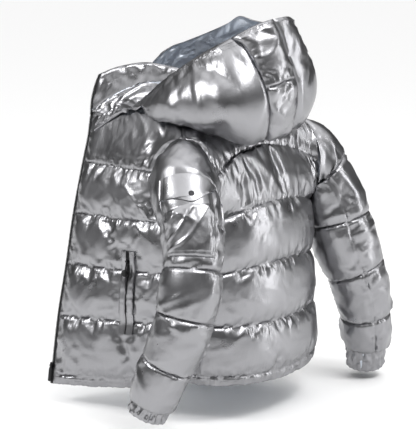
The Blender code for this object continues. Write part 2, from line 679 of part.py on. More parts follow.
def zip_tape(side, front, collar, end):
    """A strip along a front's edge and its collar's end. `end` is the collar's column there."""
    ahead = 1 if end == 0 else -2
    inside = np.vstack([collar.inside[::-1, end], front.inside[:, -1]])
    normal = np.vstack([collar.normal[::-1, end], front.normal[:, -1]])
    before = np.vstack([collar.inside[::-1, ahead], front.inside[:, -2]])
    away = inside - before
    away = unit(away - np.sum(away * normal, axis=1, keepdims=True) * normal)
    middle = inside + normal * (SEAM - TAPE_WALL) / 2
    grid = np.stack([middle + away * GAP, middle + away * (GAP + TAPE_WIDTH)], axis=1)
    piece = Piece("zip_tape_" + side, grid, normal[:, None], material="black_tape")
    piece.normal = np.repeat(normal[:, None], 2, axis=1)
    piece.thick = np.full(grid.shape[:2], TAPE_WALL)
    return piece


def local_frame(point, outward, down):
    """Matrix whose +Z runs up the garment and whose +Y leaves its surface."""
    y = unit(outward)
    z = -unit(down - np.dot(down, y) * y)
    x = np.cross(y, z)
    matrix = Matrix.Identity(4)
    for row in range(3):
        matrix[row][0], matrix[row][1], matrix[row][2], matrix[row][3] = x[row], y[row], z[row], point[row]
    return matrix


def box_mesh(bm, low, high):
    size = [b - a for a, b in zip(low, high)]
    middle = [(a + b) / 2 for a, b in zip(low, high)]
    made = bmesh.ops.create_cube(bm, size=1)
    bmesh.ops.scale(bm, vec=size, verts=made["verts"])
    bmesh.ops.translate(bm, vec=middle, verts=made["verts"])


def solid_box(name, low, high, matrix, material, bevel=0.0):
    bm = bmesh.new()
    box_mesh(bm, low, high)
    if bevel:
        bmesh.ops.bevel(bm, geom=bm.edges[:], offset=bevel, segments=2, affect="EDGES")
    mesh = bpy.data.meshes.new(name)
    bm.to_mesh(mesh)
    bm.free()
    obj = new_object(name, mesh, material)
    obj.matrix_world = matrix
    return obj


def cut_or_join(obj, other, operation):
    modifier = obj.modifiers.new(operation.lower(), "BOOLEAN")
    modifier.operation, modifier.solver, modifier.object = operation, "EXACT", other
    other.hide_render, other.display_type = True, "WIRE"
    bpy.data.collections["puffer jacket"].objects.unlink(other)
    bpy.data.collections["cutters"].objects.link(other)


def slider(name, matrix, width, height, depth, slot=None):
    """A zip slider with two cheeks and a pin for its pull; `slot` is cut for the tape that it rides.

    Returns the pin's frame.
    """
    low, high = (-width / 2, 0, -height / 2), (width / 2, depth, height / 2)
    body = solid_box(name, low, high, matrix, "black_metal", 0.0008)
    for hand in (-1, 1):
        near, far = hand * CHEEK_INSIDE, hand * (CHEEK_INSIDE + CHEEK_WALL)
        low = (min(near, far), depth - 0.001, -CHEEK_HALF)
        high = (max(near, far), depth + CHEEK_HEIGHT, CHEEK_HALF)
        cut_or_join(body, solid_box(f"{name}_cheek_{hand}", low, high, matrix, "black_metal"), "UNION")
    hinge = matrix @ Matrix.Translation((0, depth + HINGE_LIFT, 0))
    reach = CHEEK_INSIDE + CHEEK_WALL / 2
    cut_or_join(body, cross_rod(name + "_pin", PIN_RADIUS, reach, hinge, "black_metal"), "UNION")
    if slot:
        cut_or_join(body, solid_box(name + "_slot", *slot, matrix, "black_metal"), "DIFFERENCE")
    return hinge


def cross_rod(name, radius, reach, matrix, material):
    """A round rod along X, from -reach to +reach."""
    bm = bmesh.new()
    made = bmesh.ops.create_cone(
        bm, cap_ends=True, segments=16, radius1=radius, radius2=radius, depth=reach * 2
    )
    bmesh.ops.rotate(bm, cent=(0, 0, 0), matrix=Matrix.Rotation(math.pi / 2, 3, "Y"), verts=made["verts"])
    mesh = bpy.data.meshes.new(name)
    bm.to_mesh(mesh)
    bm.free()
    obj = new_object(name, mesh, material)
    obj.matrix_world = matrix
    return obj


def turned(name, profile, matrix, material, sides=14):
    """A shape turned about its own Z, from (radius, height) points that start and end on the axis."""
    bm = bmesh.new()
    points = [bm.verts.new((radius, 0, height)) for radius, height in profile]
    edges = [bm.edges.new(pair) for pair in zip(points, points[1:])]
    bmesh.ops.spin(bm, geom=points + edges, cent=(0, 0, 0), axis=(0, 0, 1), angle=2 * math.pi, steps=sides)
    bmesh.ops.remove_doubles(bm, verts=bm.verts, dist=1e-6)
    mesh = bpy.data.meshes.new(name)
    bm.to_mesh(mesh)
    bm.free()
    obj = new_object(name, mesh, material)
    face_out(mesh)
    mesh.shade_smooth()
    obj.matrix_world = matrix
    return obj


def front_zip_pull(front, tape):
    """The slider at the foot of the left half, and its pull."""
    row = int(np.argmin(np.abs(body_rows() - FRONT_SLIDER_LEVEL)))
    at = len(tape.inside) - len(body_rows()) + row
    middle = tape.inside[at, 0] + tape.normal[at, 0] * TAPE_WALL / 2
    outward = tape.normal[at, 0]
    down = tape.inside[at + 1, 0] - tape.inside[at - 1, 0]
    away = unit(tape.inside[at, 1] - tape.inside[at, 0])
    width, height, depth = FRONT_SLIDER
    centre = middle + away * (SLIDER_STAND_OFF + width / 2) - outward * depth / 2
    matrix = local_frame(centre, outward, down)
    hand = 1 if np.dot(np.array(matrix.col[0][:3]), away) > 0 else -1
    near = -hand * (width / 2 + 0.002)
    far = near + hand * (0.002 + TAPE_WIDTH + GAP - SLIDER_STAND_OFF + SLOT_PLAY)
    half = TAPE_WALL / 2 + SLOT_PLAY
    low = (min(near, far), depth / 2 - half, -height)
    high = (max(near, far), depth / 2 + half, height)
    hinge = slider("front_slider", matrix, width, height, depth, (low, high))
    pull = solid_box("front_pull", *FRONT_TAB, hinge, "black_rubber", 0.0012)
    neck = solid_box("front_pull_neck", *FRONT_NECK, hinge, "black_rubber")
    barrel = cross_rod("front_pull_barrel", FRONT_BARREL, FRONT_NECK[1][0], hinge, "black_rubber")
    cut_or_join(pull, neck, "UNION")
    cut_or_join(pull, barrel, "UNION")
    cut_or_join(pull, cross_rod("front_pull_eye", EYE_RADIUS, 0.004, hinge, "black_rubber"), "DIFFERENCE")


def pocket(side, front):
    """Two welts on a front, with the pocket's slider and its ball pull at the top."""
    levels = body_rows()
    rows = np.nonzero((levels > POCKET_LEVELS[0] - 1e-6) & (levels < POCKET_LEVELS[1] + 1e-6))[0]
    surface, normal = front.outside(), front.normal
    widths = np.linalg.norm(np.diff(surface, axis=1), axis=2).sum(axis=1)
    filled = SEAM + PUFF_BODY
    for hand, which in ((-1, "back"), (1, "front")):
        strip, directions, fill = [], [], []
        for row in rows:
            offsets = sorted((hand * WELT_GAP / 2, hand * (WELT_GAP / 2 + WELT_WIDTH)))
            first, last = ((POCKET_COLUMN + offset / widths[row]) * FRONT_COLUMNS for offset in offsets)
            columns = (first, min(max(round((first + last) / 2), first + 0.05), last - 0.05), last)
            strip.append([along_row(surface[row], c) for c in columns])
            directions.append([unit(along_row(normal[row], c)) for c in columns])
            fill.append([filled - along_row(front.thick[row], c) for c in columns])
        strip, directions = np.array(strip), np.array(directions)
        welt = Piece(f"pocket_welt_{which}_{side}", strip + directions * GAP, directions)
        welt.normal = directions
        welt.thick = WELT_WALL + WELT_FILL * np.array(fill)
        build_wall(welt)
    row = rows[0] + 1
    column = POCKET_COLUMN * FRONT_COLUMNS
    point, outward = along_row(surface[row], column), along_row(normal[row], column)
    down = along_row(surface[row + 1], column) - along_row(surface[row - 1], column)
    matrix = local_frame(point + unit(outward) * REST, outward, down)
    width, height, depth = POCKET_SLIDER
    hinge = slider("pocket_slider_" + side, matrix, width, height, depth)
    hinge = hinge @ Matrix.Rotation(math.radians(BALL_LEAN), 4, "X")
    pull = turned("pocket_pull_" + side, ball_profile(), hinge, "black_rubber")
    eye = cross_rod(f"pocket_pull_eye_{side}", EYE_RADIUS, 0.004, hinge, "black_rubber")
    cut_or_join(pull, eye, "DIFFERENCE")


def along_row(values, column):
    low = int(column)
    share = column - low
    return values[low] * (1 - share) + values[low + 1] * share


def ball_profile():
    """Half outline of a short cord with a round head and a ball, hanging down from its head."""
    profile = [(0.0, CORD_HEAD), (CORD_HEAD * 0.8, CORD_HEAD * 0.6), (CORD_HEAD, 0.0)]
    profile += [(CORD_RADIUS, -CORD_HEAD)]
    start = math.asin(CORD_RADIUS / BALL_RADIUS)
    for step in range(BALL_STEPS + 1):
        angle = start + (math.pi - start) * step / BALL_STEPS
        radius = BALL_RADIUS * math.sin(angle) if step < BALL_STEPS else 0.0
        profile.append((radius, -CORD_LENGTH - BALL_RADIUS + BALL_RADIUS * math.cos(angle)))
    return profile


def flap_places(columns):
    """How many rings below the patch's top each point of the flap lies."""
    reach = np.abs(np.arange(columns) - FLAP_MIDDLE) / ((columns - 1) / 2)
    ends = FLAP_SIDE + FLAP_POINT * np.clip(1 - reach, 0, 1)
    return np.vstack([ends * 0, np.minimum(1, ends * 0.85), ends])


def sleeve_pocket(sleeve):
    """Patch, pointed flap and snap on the left upper sleeve."""
    count = sleeve.inside.shape[1]
    columns = [c % count for c in PATCH_COLUMNS]
    surface = sleeve.outside()[PATCH_ROWS[0] : PATCH_ROWS[1] + 1][:, columns]
    normal = sleeve.normal[PATCH_ROWS[0] : PATCH_ROWS[1] + 1][:, columns]
    patch = Piece("sleeve_pocket", surface + normal * GAP, normal)
    patch.normal = normal
    patch.thick = np.full(surface.shape[:2], PATCH_WALL)
    build_wall(patch)
    top, places = patch.outside(), flap_places(len(columns))
    surface = np.array([[along_row(top[:, k], place) for k, place in enumerate(row)] for row in places])
    outward = np.array([[along_row(normal[:, k], place) for k, place in enumerate(row)] for row in places])
    flap = Piece("sleeve_flap", surface + unit(outward) * GAP, outward)
    flap.normal = unit(outward)
    flap.thick = np.full(surface.shape[:2], FLAP_WALL)
    build_wall(flap)
    faces = (flap.outside(), flap.normal)
    point, outward = (along_row(f[-2] * (1 - SNAP_PLACE) + f[-1] * SNAP_PLACE, FLAP_MIDDLE) for f in faces)
    outward = unit(outward)
    down = along_row(flap.inside[-1] - flap.inside[-2], FLAP_MIDDLE)
    matrix = local_frame(point + outward * GAP * 1.5, outward, down) @ Matrix.Rotation(-math.pi / 2, 4, "X")
    radius, height = SNAP
    profile = [(0, height), (radius * 0.8, height), (radius, height * 0.6), (radius, 0), (0, 0)]
    turned("sleeve_snap", profile, matrix, "black_metal", 20)


# ---------------------------------------------------------------- assembly


def clear_scene():
    for obj in list(bpy.data.objects):
        bpy.data.objects.remove(obj, do_unlink=True)
    for name in ("puffer jacket", "cutters"):
        bpy.context.scene.collection.children.link(bpy.data.collections.new(name))


def main():
    clear_scene()
    back = back_piece()
    fronts = {side: front_piece(side) for side in ("left", "right")}
    mirror_back = Piece("mirror", back.inside[:, ::-1] * (-1, 1, 1), (0, 1, 0))
    mirror_back.thick = back.thick[:, ::-1]
    sleeves = {
        "left": sleeve_piece("left", (back, fronts["left"])),
        "right": sleeve_piece("right", (mirror_back, fronts["right"])).mirrored(),
    }
    fronts["right"].mirrored()
    body = [back, *fronts.values(), *sleeves.values()]
    share_directions(body)
    for piece in (back, *fronts.values()):
        piece.part_edge(column=0)
    back.part_edge(column=-1)
    for piece in sleeves.values():
        piece.part_edge(row=0, by=GAP * 1.5)
    stations, line = neckline(fronts, back)
    collar = collar_piece(stations, line)
    hood = hood_pieces(stations, line, (back, *fronts.values()))
    share_directions(hood)
    for piece, columns in zip(hood, ((-1,), (0, -1), (0,))):
        for column in columns:
            piece.part_edge(column=column)
    cuffs = [cuff_piece("left"), cuff_piece("right").mirrored()]
    tapes = [zip_tape("left", fronts["left"], collar, 0), zip_tape("right", fronts["right"], collar, -1)]
    for piece in [*body, *hood, collar, *cuffs, *tapes]:
        build_wall(piece)
    front_zip_pull(fronts["left"], tapes[0])
    for side, front in fronts.items():
        pocket(side, front)
    sleeve_pocket(sleeves["left"])


main()
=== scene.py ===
"""Looks of the hooded quilted puffer jacket.

Every cut piece is a padded shell on its CAD solid's form: the same rows, seams and rings, worked out
again and drawn finely. A cloth simulation swells the channels between their seams. Stitching, zip
teeth, gathers and finishes are added here.
Metres, +Z up. The wearer faces -Y and the wearer's left is +X.
"""

import math

import bpy
import numpy as np
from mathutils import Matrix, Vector


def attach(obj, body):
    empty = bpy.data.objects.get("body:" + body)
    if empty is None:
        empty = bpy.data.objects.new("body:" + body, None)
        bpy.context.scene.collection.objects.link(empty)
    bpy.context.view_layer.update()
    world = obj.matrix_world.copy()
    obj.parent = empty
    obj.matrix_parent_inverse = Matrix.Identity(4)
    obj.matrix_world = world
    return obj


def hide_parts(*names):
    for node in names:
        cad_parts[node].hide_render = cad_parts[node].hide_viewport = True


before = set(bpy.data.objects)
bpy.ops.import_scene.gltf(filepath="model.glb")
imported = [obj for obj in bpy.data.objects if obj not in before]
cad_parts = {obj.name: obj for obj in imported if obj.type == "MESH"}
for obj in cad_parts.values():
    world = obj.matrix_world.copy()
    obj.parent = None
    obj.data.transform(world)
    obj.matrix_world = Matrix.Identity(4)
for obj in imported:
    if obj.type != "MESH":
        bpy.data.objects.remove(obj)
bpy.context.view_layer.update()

# ---------------------------------------------------------------- the jacket's sizes, as in the CAD

# Cloth walls
SEAM = 0.003  # wall at a seam
GAP = 0.0005  # between two pieces at a seam
HOOD_REST, SLEEVE_REST = 0.0050, 0.0030  # where a hood or sleeve lies against the body
PUFF_BODY = 0.013  # what a channel's crown adds
PUFF_YOKE = 0.007
PUFF_HEM = 0.003
PUFF_SLEEVE = 0.010
PUFF_HOOD = 0.007
PUFF_COLLAR = 0.004
PUFF_POWER = 0.6  # below 1 makes a full crown
EDGE_REACH = 0.030  # over which a panel fills out from its edge
HEAD_REACH = 0.060  # the same on a sleeve, from the armhole
ARMPIT_REACH = 0.110  # added at the underarm
ARMPIT_THINNING, ARMPIT_THIN_REACH = 0.0020, 0.060  # of both walls, nearest the underarm
SLEEVE_LIFT_REACH, HOOD_LIFT_REACH = 0.008, 0.020  # how near a panel, sideways, either is lifted
LIFT_PASSES, LIFT_SOFTENING = 3, 2
YOKE_SLIDE = 1.8  # moves the first channel's crown down, clear of the hood

# Levels of the rows, and where the shoulder point and the underarm lie
SHOULDER_LEVEL, UNDERARM_LEVEL = 0.4, 2.0
LEVELS = (0.0, 0.4, 1.0, 2.0, 3.0, 4.0, 5.0, 6.0)
YOKE_ROWS = (0.0, 0.2, 0.4, 0.55, 0.7, 0.85, 1.0)
CHANNEL_STEPS, HEM_STEPS = 5, 2
CHEST_ANGLE = math.radians(84)  # round the armhole from its top, at level 1

ARMHOLE_DEPTH, ARMHOLE_INSET = 0.080, 0.010  # half its width, and how far its middle draws in
# Each side as a left one: neck point, shoulder point, armhole's middle, side seam
SIDES = {
    "left": {
        "neck": (0.092, -0.125, 0.080),
        "shoulder_middle": (0.132, -0.070, 0.014),
        "shoulder": (0.203, 0.000, -0.028),
        "armhole": (0.206, 0.005, -0.126),
        "seam_y": 0.008,
        "narrowing": 0.0,
    },
    "right": {
        "neck": (0.092, -0.115, 0.080),
        "shoulder_middle": (0.132, -0.060, 0.014),
        "shoulder": (0.214, 0.020, -0.024),
        "armhole": (0.214, 0.020, -0.124),
        "seam_y": 0.015,
        "narrowing": 0.010,
    },
}
#            level:  2       3       4       5       6
SIDE_SEAM_X = (0.206, 0.208, 0.212, 0.216, 0.216)
SIDE_SEAM_Z = (-0.228, -0.352, -0.472, -0.592, -0.615)

# Front rows in mm, from the side to the zip: two points between, and the zip edge (x, y, z)
FRONT_ROWS = {
    "left": (
        ((98, -200, 74), (118, -273, 45), (148, -339, 0)),
        ((170, -115, -30), (159, -237, -40), (155, -341, -50)),
        ((193, -165, -120), (187, -253, -121), (176, -343, -122)),
        ((219, -115, -236), (218, -228, -241), (212, -344, -246)),
        ((230, -115, -359), (240, -228, -364), (240, -345, -370)),
        ((238, -115, -484), (258, -228, -490), (270, -347, -498)),
        ((244, -115, -622), (272, -228, -636), (295, -348, -646)),
        ((244, -115, -645), (273, -228, -659), (297, -348, -669)),
    ),
    "right": (
        ((84, -170, 62), (50, -215, 34), (4, -235, 12)),
        ((160, -95, -30), (90, -178, -32), (3, -214, -38)),
        ((160, -140, -120), (88, -186, -121), (2, -203, -122)),
        ((180, -122, -238), (100, -184, -242), (0, -203, -246)),
        ((182, -126, -362), (102, -190, -366), (0, -208, -370)),
        ((186, -128, -488), (104, -194, -493), (0, -213, -498)),
        ((189, -130, -620), (106, -198, -636), (0, -218, -646)),
        ((189, -130, -643), (106, -198, -659), (0, -218, -669)),
    ),
}
FRONT_COLUMNS = 10

# Centre of the back, by level
BACK_CENTRE_Y = (-0.035, 0.010, 0.058, 0.106, 0.126, 0.136, 0.144, 0.146)
BACK_CENTRE_Z = (0.072, 0.004, -0.066, -0.192, -0.334, -0.478, -0.602, -0.625)
BACK_COLUMNS = 16
BACK_RISE = 2.0  # higher makes its rows leave the sides more level
BACK_FULLNESS = {"left": 0.85, "right": 0.65}  # lower is squarer

# Sleeves as left ones, in mm: middle line and radius from the armhole to the cuff's end (x, y, z, radius)
SLEEVE_PATHS = {
    "left": (
        (206, 5, -126, 85),
        (234, 20, -138, 78),
        (271, 74, -190, 60),
        (296, 104, -262, 58),
        (320, 115, -346, 58),
        (345, 109, -443, 54),
        (364, 78, -531, 48),
        (384, 34, -650, 43),
    ),
    "right": (
        (214, 20, -124, 85),
        (242, 34, -138, 80),
        (270, 70, -192, 68),
        (305, 112, -346, 68),
        (345, 142, -480, 56),
        (370, 139, -585, 50),
        (390, 124, -686, 45),
    ),
}
SLEEVE_PATHS = {side: np.array(path) / 1000 for side, path in SLEEVE_PATHS.items()}
# Quilting seams along the middle line; the last is the cuff seam
SLEEVE_SEAMS = {
    "left": (0.245, 0.355, 0.475, 0.582),
    "right": (0.080, 0.205, 0.345, 0.475, 0.565),
}
SLEEVE_CHANNEL_STEPS = {"left": (10, 5, 5, 5), "right": (4, 5, 6, 5, 4)}
CAP_FIRST = 0.008  # ring close to the armhole
CAP_LENGTH = 0.10  # over which the armhole's outline turns into a round one
CAP_START = (0.90, 0.25, -0.35)  # way that the sleeve leaves the armhole
CUFF_GATHERS, CUFF_STEPS = 18, 3
CUFF_GATHER_DEPTH = 0.0022
CUFF_WALL = 0.003

COLLAR_STEPS = 4
COLLAR_STATIONS = (0.0, 0.12, 0.25, 0.5, 0.75, 1.0)  # left zip round the back to right zip
COLLAR_HEIGHTS = (0.096, 0.064, 0.042, 0.042, 0.046, 0.085)
COLLAR_LEAN, COLLAR_END_LEAN = 0.004, (-0.013, 0.017, 0.0)  # of the top: inwards, and its left end's
COLLAR_PLAIN = 0.4  # lowest share of its height, where the hood's foot lies against it

# Hood sections from its left front corner round the back to its right one: place along the
# neckline, and in mm its lowest point, widest point and opening edge, each (x, y, z)
HOOD_SECTIONS = (
    (0.00, (148, -314, -10), (156, -315, -28), (163, -316, -46)),
    (0.12, (140, -245, 30), (154, -243, 12), (160, -240, 6)),
    (0.19, (150, -185, 36), (168, -178, 26), (164, -172, 42)),
    (0.25, (172, -125, 18), (192, -100, 44), (158, -105, 95)),
    (0.33, (184, -25, 10), (200, 0, 50), (146, -10, 160)),
    (0.41, (165, 85, -5), (178, 115, 40), (128, 80, 212)),
    (0.455, (110, 135, -20), (120, 163, 36), (85, 122, 243)),
    (0.50, (45, 148, -14), (45, 176, 66), (40, 145, 256)),
    (0.545, (-36, 142, -6), (-38, 174, 68), (-20, 138, 254)),
    (0.59, (-114, 108, 0), (-115, 136, 62), (-80, 85, 236)),
    (0.66, (-165, -10, 20), (-180, 5, 75), (-122, -30, 220)),
    (0.70, (-165, -55, 25), (-182, -45, 80), (-130, -88, 232)),
    (0.75, (-160, -115, 35), (-174, -115, 80), (-132, -140, 208)),
    (0.88, (-115, -205, 60), (-120, -225, 95), (-95, -238, 162)),
    (0.94, (-70, -240, 50), (-75, -254, 88), (-56, -262, 147)),
    (1.00, (-16, -264, 36), (-18, -277, 66), (-12, -280, 113)),
)
HOOD_STEPS = 12
# Its two long seams: places along the opening edge and along the neckline
HOOD_SEAMS = ((0.0, 0.0), (0.41, 0.51), (0.49, 0.55), (1.0, 1.0))
HOOD_SEAM_BEND = 0.6
HOOD_PANELS = (("hood_left", 14, 1.0), ("hood_centre", 5, 0.72), ("hood_right", 14, 1.0))
HOOD_FLAT = 0.20  # station up to which the hood's front corner lies on the left front
HOOD_FOOT_HEIGHT, HOOD_FOOT_GAP = 0.007, 0.0012
HOOD_HOLLOW = (0.0, 0.02, 0.12)  # a point in its bag

TAPE_WALL, TAPE_WIDTH = 0.0016, 0.0060
POCKET_LEVELS, POCKET_COLUMN = (2.6, 4.2), 0.43
WELT_GAP, WELT_WIDTH, WELT_WALL, WELT_FILL = 0.0090, 0.0150, 0.0025, 0.5
PATCH_ROWS = (4, 10)  # rings of the left sleeve
PATCH_COLUMNS = (1, 0, -1, -2, -3, -4)
PATCH_WALL, FLAP_WALL = 0.0030, 0.0025
# Rings that the flap's sides hang down, how many more its point does, and the point's column
FLAP_SIDE, FLAP_POINT, FLAP_MIDDLE = 0.85, 1.0, 2.9


def unit(vectors):
    return vectors / np.linalg.norm(vectors, axis=-1, keepdims=True)


def mix(first, second, share):
    return first * (1 - share) + second * share


def smooth(share):
    """The share from 0 to 1 with level ends."""
    return share * share * (3 - 2 * share)


def bell(distance, reach):
    return np.exp(-((distance / reach) ** 2))


def spans(points, axis=0):
    """Distances between neighbours along an axis."""
    return np.linalg.norm(np.diff(points, axis=axis), axis=-1)


def through(knots, values, at):
    """Values at the places `at`, from a smooth curve that passes the values at the knots."""
    knots, values = np.asarray(knots, float), np.asarray(values, float)
    places = np.atleast_1d(np.asarray(at, float))
    slopes = np.gradient(values, knots, axis=0)
    i = np.clip(np.searchsorted(knots, places, side="right") - 1, 0, len(knots) - 2)
    span = knots[i + 1] - knots[i]
    f = (places - knots[i]) / span
    if values.ndim == 2:
        f, span = f[:, None], span[:, None]
    first, second = values[i], values[i + 1]
    bend = f * (1 - f) * span * ((1 - f) * slopes[i] - f * slopes[i + 1])
    result = first + (second - first) * smooth(f) + bend
    return result if np.ndim(at) else result[0]


def lengths(points):
    """Distance along the points, from the first."""
    return np.concatenate([[0.0], np.cumsum(spans(points))])


def crown(places):
    """Height of a filled channel, 0 at each whole number and near 1 between."""
    return np.abs(np.sin(np.pi * np.asarray(places))) ** PUFF_POWER


def eased(distance, reach, power=0.5):
    """0 at an edge, rising to 1 at `reach`, as a quarter round or more slowly with a higher power."""
    f = np.clip(np.asarray(distance) / reach, 0, 1)
    return (1 - (1 - f) ** 2) ** power


def grid_normals(points, closed):
    """Directions square to a grid of points (row, column, xyz)."""
    down = np.gradient(points, axis=0)
    if closed:
        across = np.roll(points, -1, axis=1) - np.roll(points, 1, axis=1)
    else:
        across = np.gradient(points, axis=1)
    return unit(np.cross(across, down))


# ---------------------------------------------------------------- pieces


class Piece:
    """A wall: a plain inside grid, the direction in which it is thick, and how thick it is."""

    def __init__(self, name, inside, outward, closed=False):
        self.name, self.inside, self.closed = name, inside, closed
        normal = grid_normals(inside, closed)
        if outward is None:
            outward = inside - inside.mean(axis=1, keepdims=True)
        towards = np.sum(normal * outward, axis=2, keepdims=True)
        self.normal = normal * np.sign(towards if np.ndim(outward) > 1 else towards.sum())
        self.fill(np.full(inside.shape[:2], SEAM), 0.0, np.zeros(len(inside)))

    def fill(self, seam, swell, places):
        """`seam` is the wall at a seam, `swell` what a channel adds, `places` each row's place in them."""
        self.seam, self.swell = (np.broadcast_to(part, self.inside.shape[:2]) for part in (seam, swell))
        self.places = places
        self.thick = self.seam + self.swell * crown(places)[:, None]

    def mirrored(self):
        self.inside = self.inside * (-1, 1, 1)
        self.normal = self.normal * (-1, 1, 1)
        return self

    def widths(self):
        """Straight distance across each row."""
        return np.linalg.norm(self.inside[:, -1] - self.inside[:, 0], axis=1)

    def outside(self):
        return self.inside + self.normal * self.thick[..., None]

    def part_edge(self, row=None, column=None, by=GAP / 2):
        """Draws one edge back by half a gap or more, square to its wall."""
        if row is not None:
            edge, inner = (row, slice(None)), (1 if row == 0 else -2, slice(None))
        else:
            edge, inner = (slice(None), column), (slice(None), 1 if column == 0 else -2)
        line = self.inside[edge]
        if self.closed and row is not None:
            along = np.roll(line, -1, axis=0) - np.roll(line, 1, axis=0)
        else:
            along = np.gradient(line, axis=0)
        back = unit(np.cross(along, self.normal[edge]))
        towards = np.sum(back * (self.inside[inner] - line), axis=1, keepdims=True)
        self.inside[edge] = line + back * np.sign(towards) * by


def finer(grid, times=3):
    """A grid of vectors with points added between its own, along rows and columns."""
    for axis in (0, 1):
        places = np.linspace(0, grid.shape[axis] - 1, (grid.shape[axis] - 1) * times + 1)
        low = np.minimum(places.astype(int), grid.shape[axis] - 2)
        share = (places - low).reshape((-1, 1, 1) if axis == 0 else (1, -1, 1))
        grid = mix(np.take(grid, low, axis), np.take(grid, low + 1, axis), share)
    return grid


def softened(grid, closed):
    """A grid of vectors, each averaged with its neighbours; the first row is kept."""
    padded = np.pad(grid, ((1, 1), (1, 1), (0, 0)), mode="edge")
    if closed:
        padded[:, 0], padded[:, -1] = padded[:, -2], padded[:, 1]
    around = padded[:-2, 1:-1] + padded[2:, 1:-1] + padded[1:-1, :-2] + padded[1:-1, 2:]
    result = (grid * 2 + around) / 6
    result[0] = grid[0]
    return result


def clear_of(points, thick, panels, chosen, rest, reach, closed=False):
    """Moves a grid off the panels, smoothly, until the chosen points leave room for its wall."""
    moved = points
    for _ in range(LIFT_PASSES):
        lifts = lifted(moved, thick, panels, chosen, rest, reach) - points
        for _ in range(LIFT_SOFTENING):
            lifts = softened(lifts, closed)
        moved = points + lifts
    return lifted(moved, thick, panels, chosen, rest, reach)


def lifted(points, thick, panels, chosen, rest, reach):
    points = points.copy()
    for panel in panels:
        surface = finer(panel.outside()).reshape(-1, 3)
        away = unit(finer(panel.normal).reshape(-1, 3))
        for index in zip(*np.nonzero(chosen)):
            offset = points[index] - surface
            near = np.argmin(np.sum(offset * offset, axis=1))
            height = np.dot(offset[near], away[near])
            if np.linalg.norm(offset[near] - height * away[near]) > reach:
                continue
            short = thick[index] + rest - height
            if short > 0:
                points[index] += away[near] * short
    return points


def share_directions(pieces):
    """Walls that meet at a point get one direction there, so that their edges stay parallel."""
    total = {}
    keys = {}
    for piece in pieces:
        keys[piece.name] = [tuple(key) for key in np.round(piece.inside.reshape(-1, 3) * 1e5).astype(int)]
        for key, normal in zip(keys[piece.name], piece.normal.reshape(-1, 3)):
            total[key] = total.get(key, 0) + normal
    for piece in pieces:
        shared = np.array([total[key] for key in keys[piece.name]])
        piece.normal = unit(shared).reshape(piece.normal.shape)


def body_rows():
    rows = list(YOKE_ROWS)
    for level in range(1, 5):
        rows += [level + step / CHANNEL_STEPS for step in range(1, CHANNEL_STEPS + 1)]
    rows += [5 + step / HEM_STEPS for step in range(1, HEM_STEPS + 1)]
    return np.array(rows)


def armhole_angle(level):
    """Angle from the armhole's top at a level, 0 to pi."""
    knots = (SHOULDER_LEVEL, 1.0, UNDERARM_LEVEL)
    return np.interp(level, knots, (0.0, CHEST_ANGLE, math.pi))


def side_edge(side, facing):
    """Points of a panel's side: shoulder seam, armhole and side seam. `facing` is -1 on a front."""
    sizes = SIDES[side]
    middle = np.array(sizes["armhole"])
    neck, shoulder = np.array(sizes["neck"]), np.array(sizes["shoulder"])
    height = shoulder[2] - middle[2]
    points = []
    for level in body_rows():
        if level <= SHOULDER_LEVEL:
            halves = (0.0, SHOULDER_LEVEL / 2, SHOULDER_LEVEL)
            points.append(through(halves, (neck, sizes["shoulder_middle"], shoulder), level))
        elif level < UNDERARM_LEVEL:
            angle = armhole_angle(level)
            y = middle[1] + facing * ARMHOLE_DEPTH * math.sin(angle)
            x = middle[0] - ARMHOLE_INSET * math.sin(angle)
            y += (shoulder[1] - middle[1]) * max(0.0, math.cos(angle))
            x += (shoulder[0] - middle[0]) * max(0.0, math.cos(angle))
            points.append(np.array((x, y, middle[2] + height * math.cos(angle))))
        else:
            z = through(range(2, 7), SIDE_SEAM_Z, level)
            fade = min(1.0, level - UNDERARM_LEVEL)
            x = through(range(2, 7), SIDE_SEAM_X, level)
            x += (middle[0] - SIDE_SEAM_X[0]) * (1 - fade) - sizes["narrowing"] * fade
            y = middle[1] + (sizes["seam_y"] - middle[1]) * fade
            points.append(np.array((x, y, z)))
    return np.array(points)


def front_piece(side):
    rows = body_rows()
    table = np.array(FRONT_ROWS[side]) / 1000
    places = np.linspace(0, 1, FRONT_COLUMNS + 1)
    start = side_edge(side, -1)
    grid = []
    for index, level in enumerate(rows):
        knots = [start[index]] + [through(LEVELS, table[:, k], level) for k in range(3)]
        distance = lengths(np.array(knots))
        grid.append(through(distance / distance[-1], knots, places))
    piece = Piece("front_" + side, np.array(grid), (1, -0.6, 0))
    widths = piece.widths()
    fill = eased(np.outer(widths, 1 - places), EDGE_REACH)
    piece.fill(*body_thickness(rows, np.outer(widths, places), fill))
    return piece


def body_thickness(rows, from_side, fill=1.0):
    """Wall of a panel whose channels run across it: thin at its seams and its side, and thinnest
    at the underarm, where the sleeve lies close to it."""
    puff = np.where(rows < 1, PUFF_YOKE, np.where(rows > 5, PUFF_HEM, PUFF_BODY))
    yoke = np.where(rows < 1, np.clip(rows, 0, 1) ** YOKE_SLIDE, rows)
    near = bell(rows - UNDERARM_LEVEL, 0.5)[:, None]
    across = eased(from_side, EDGE_REACH + ARMPIT_REACH * near, 1 + near / 2)
    seam = SEAM - ARMPIT_THINNING * near * (1 - eased(from_side, ARMPIT_THIN_REACH))
    return seam, puff[:, None] * across * fill, yoke


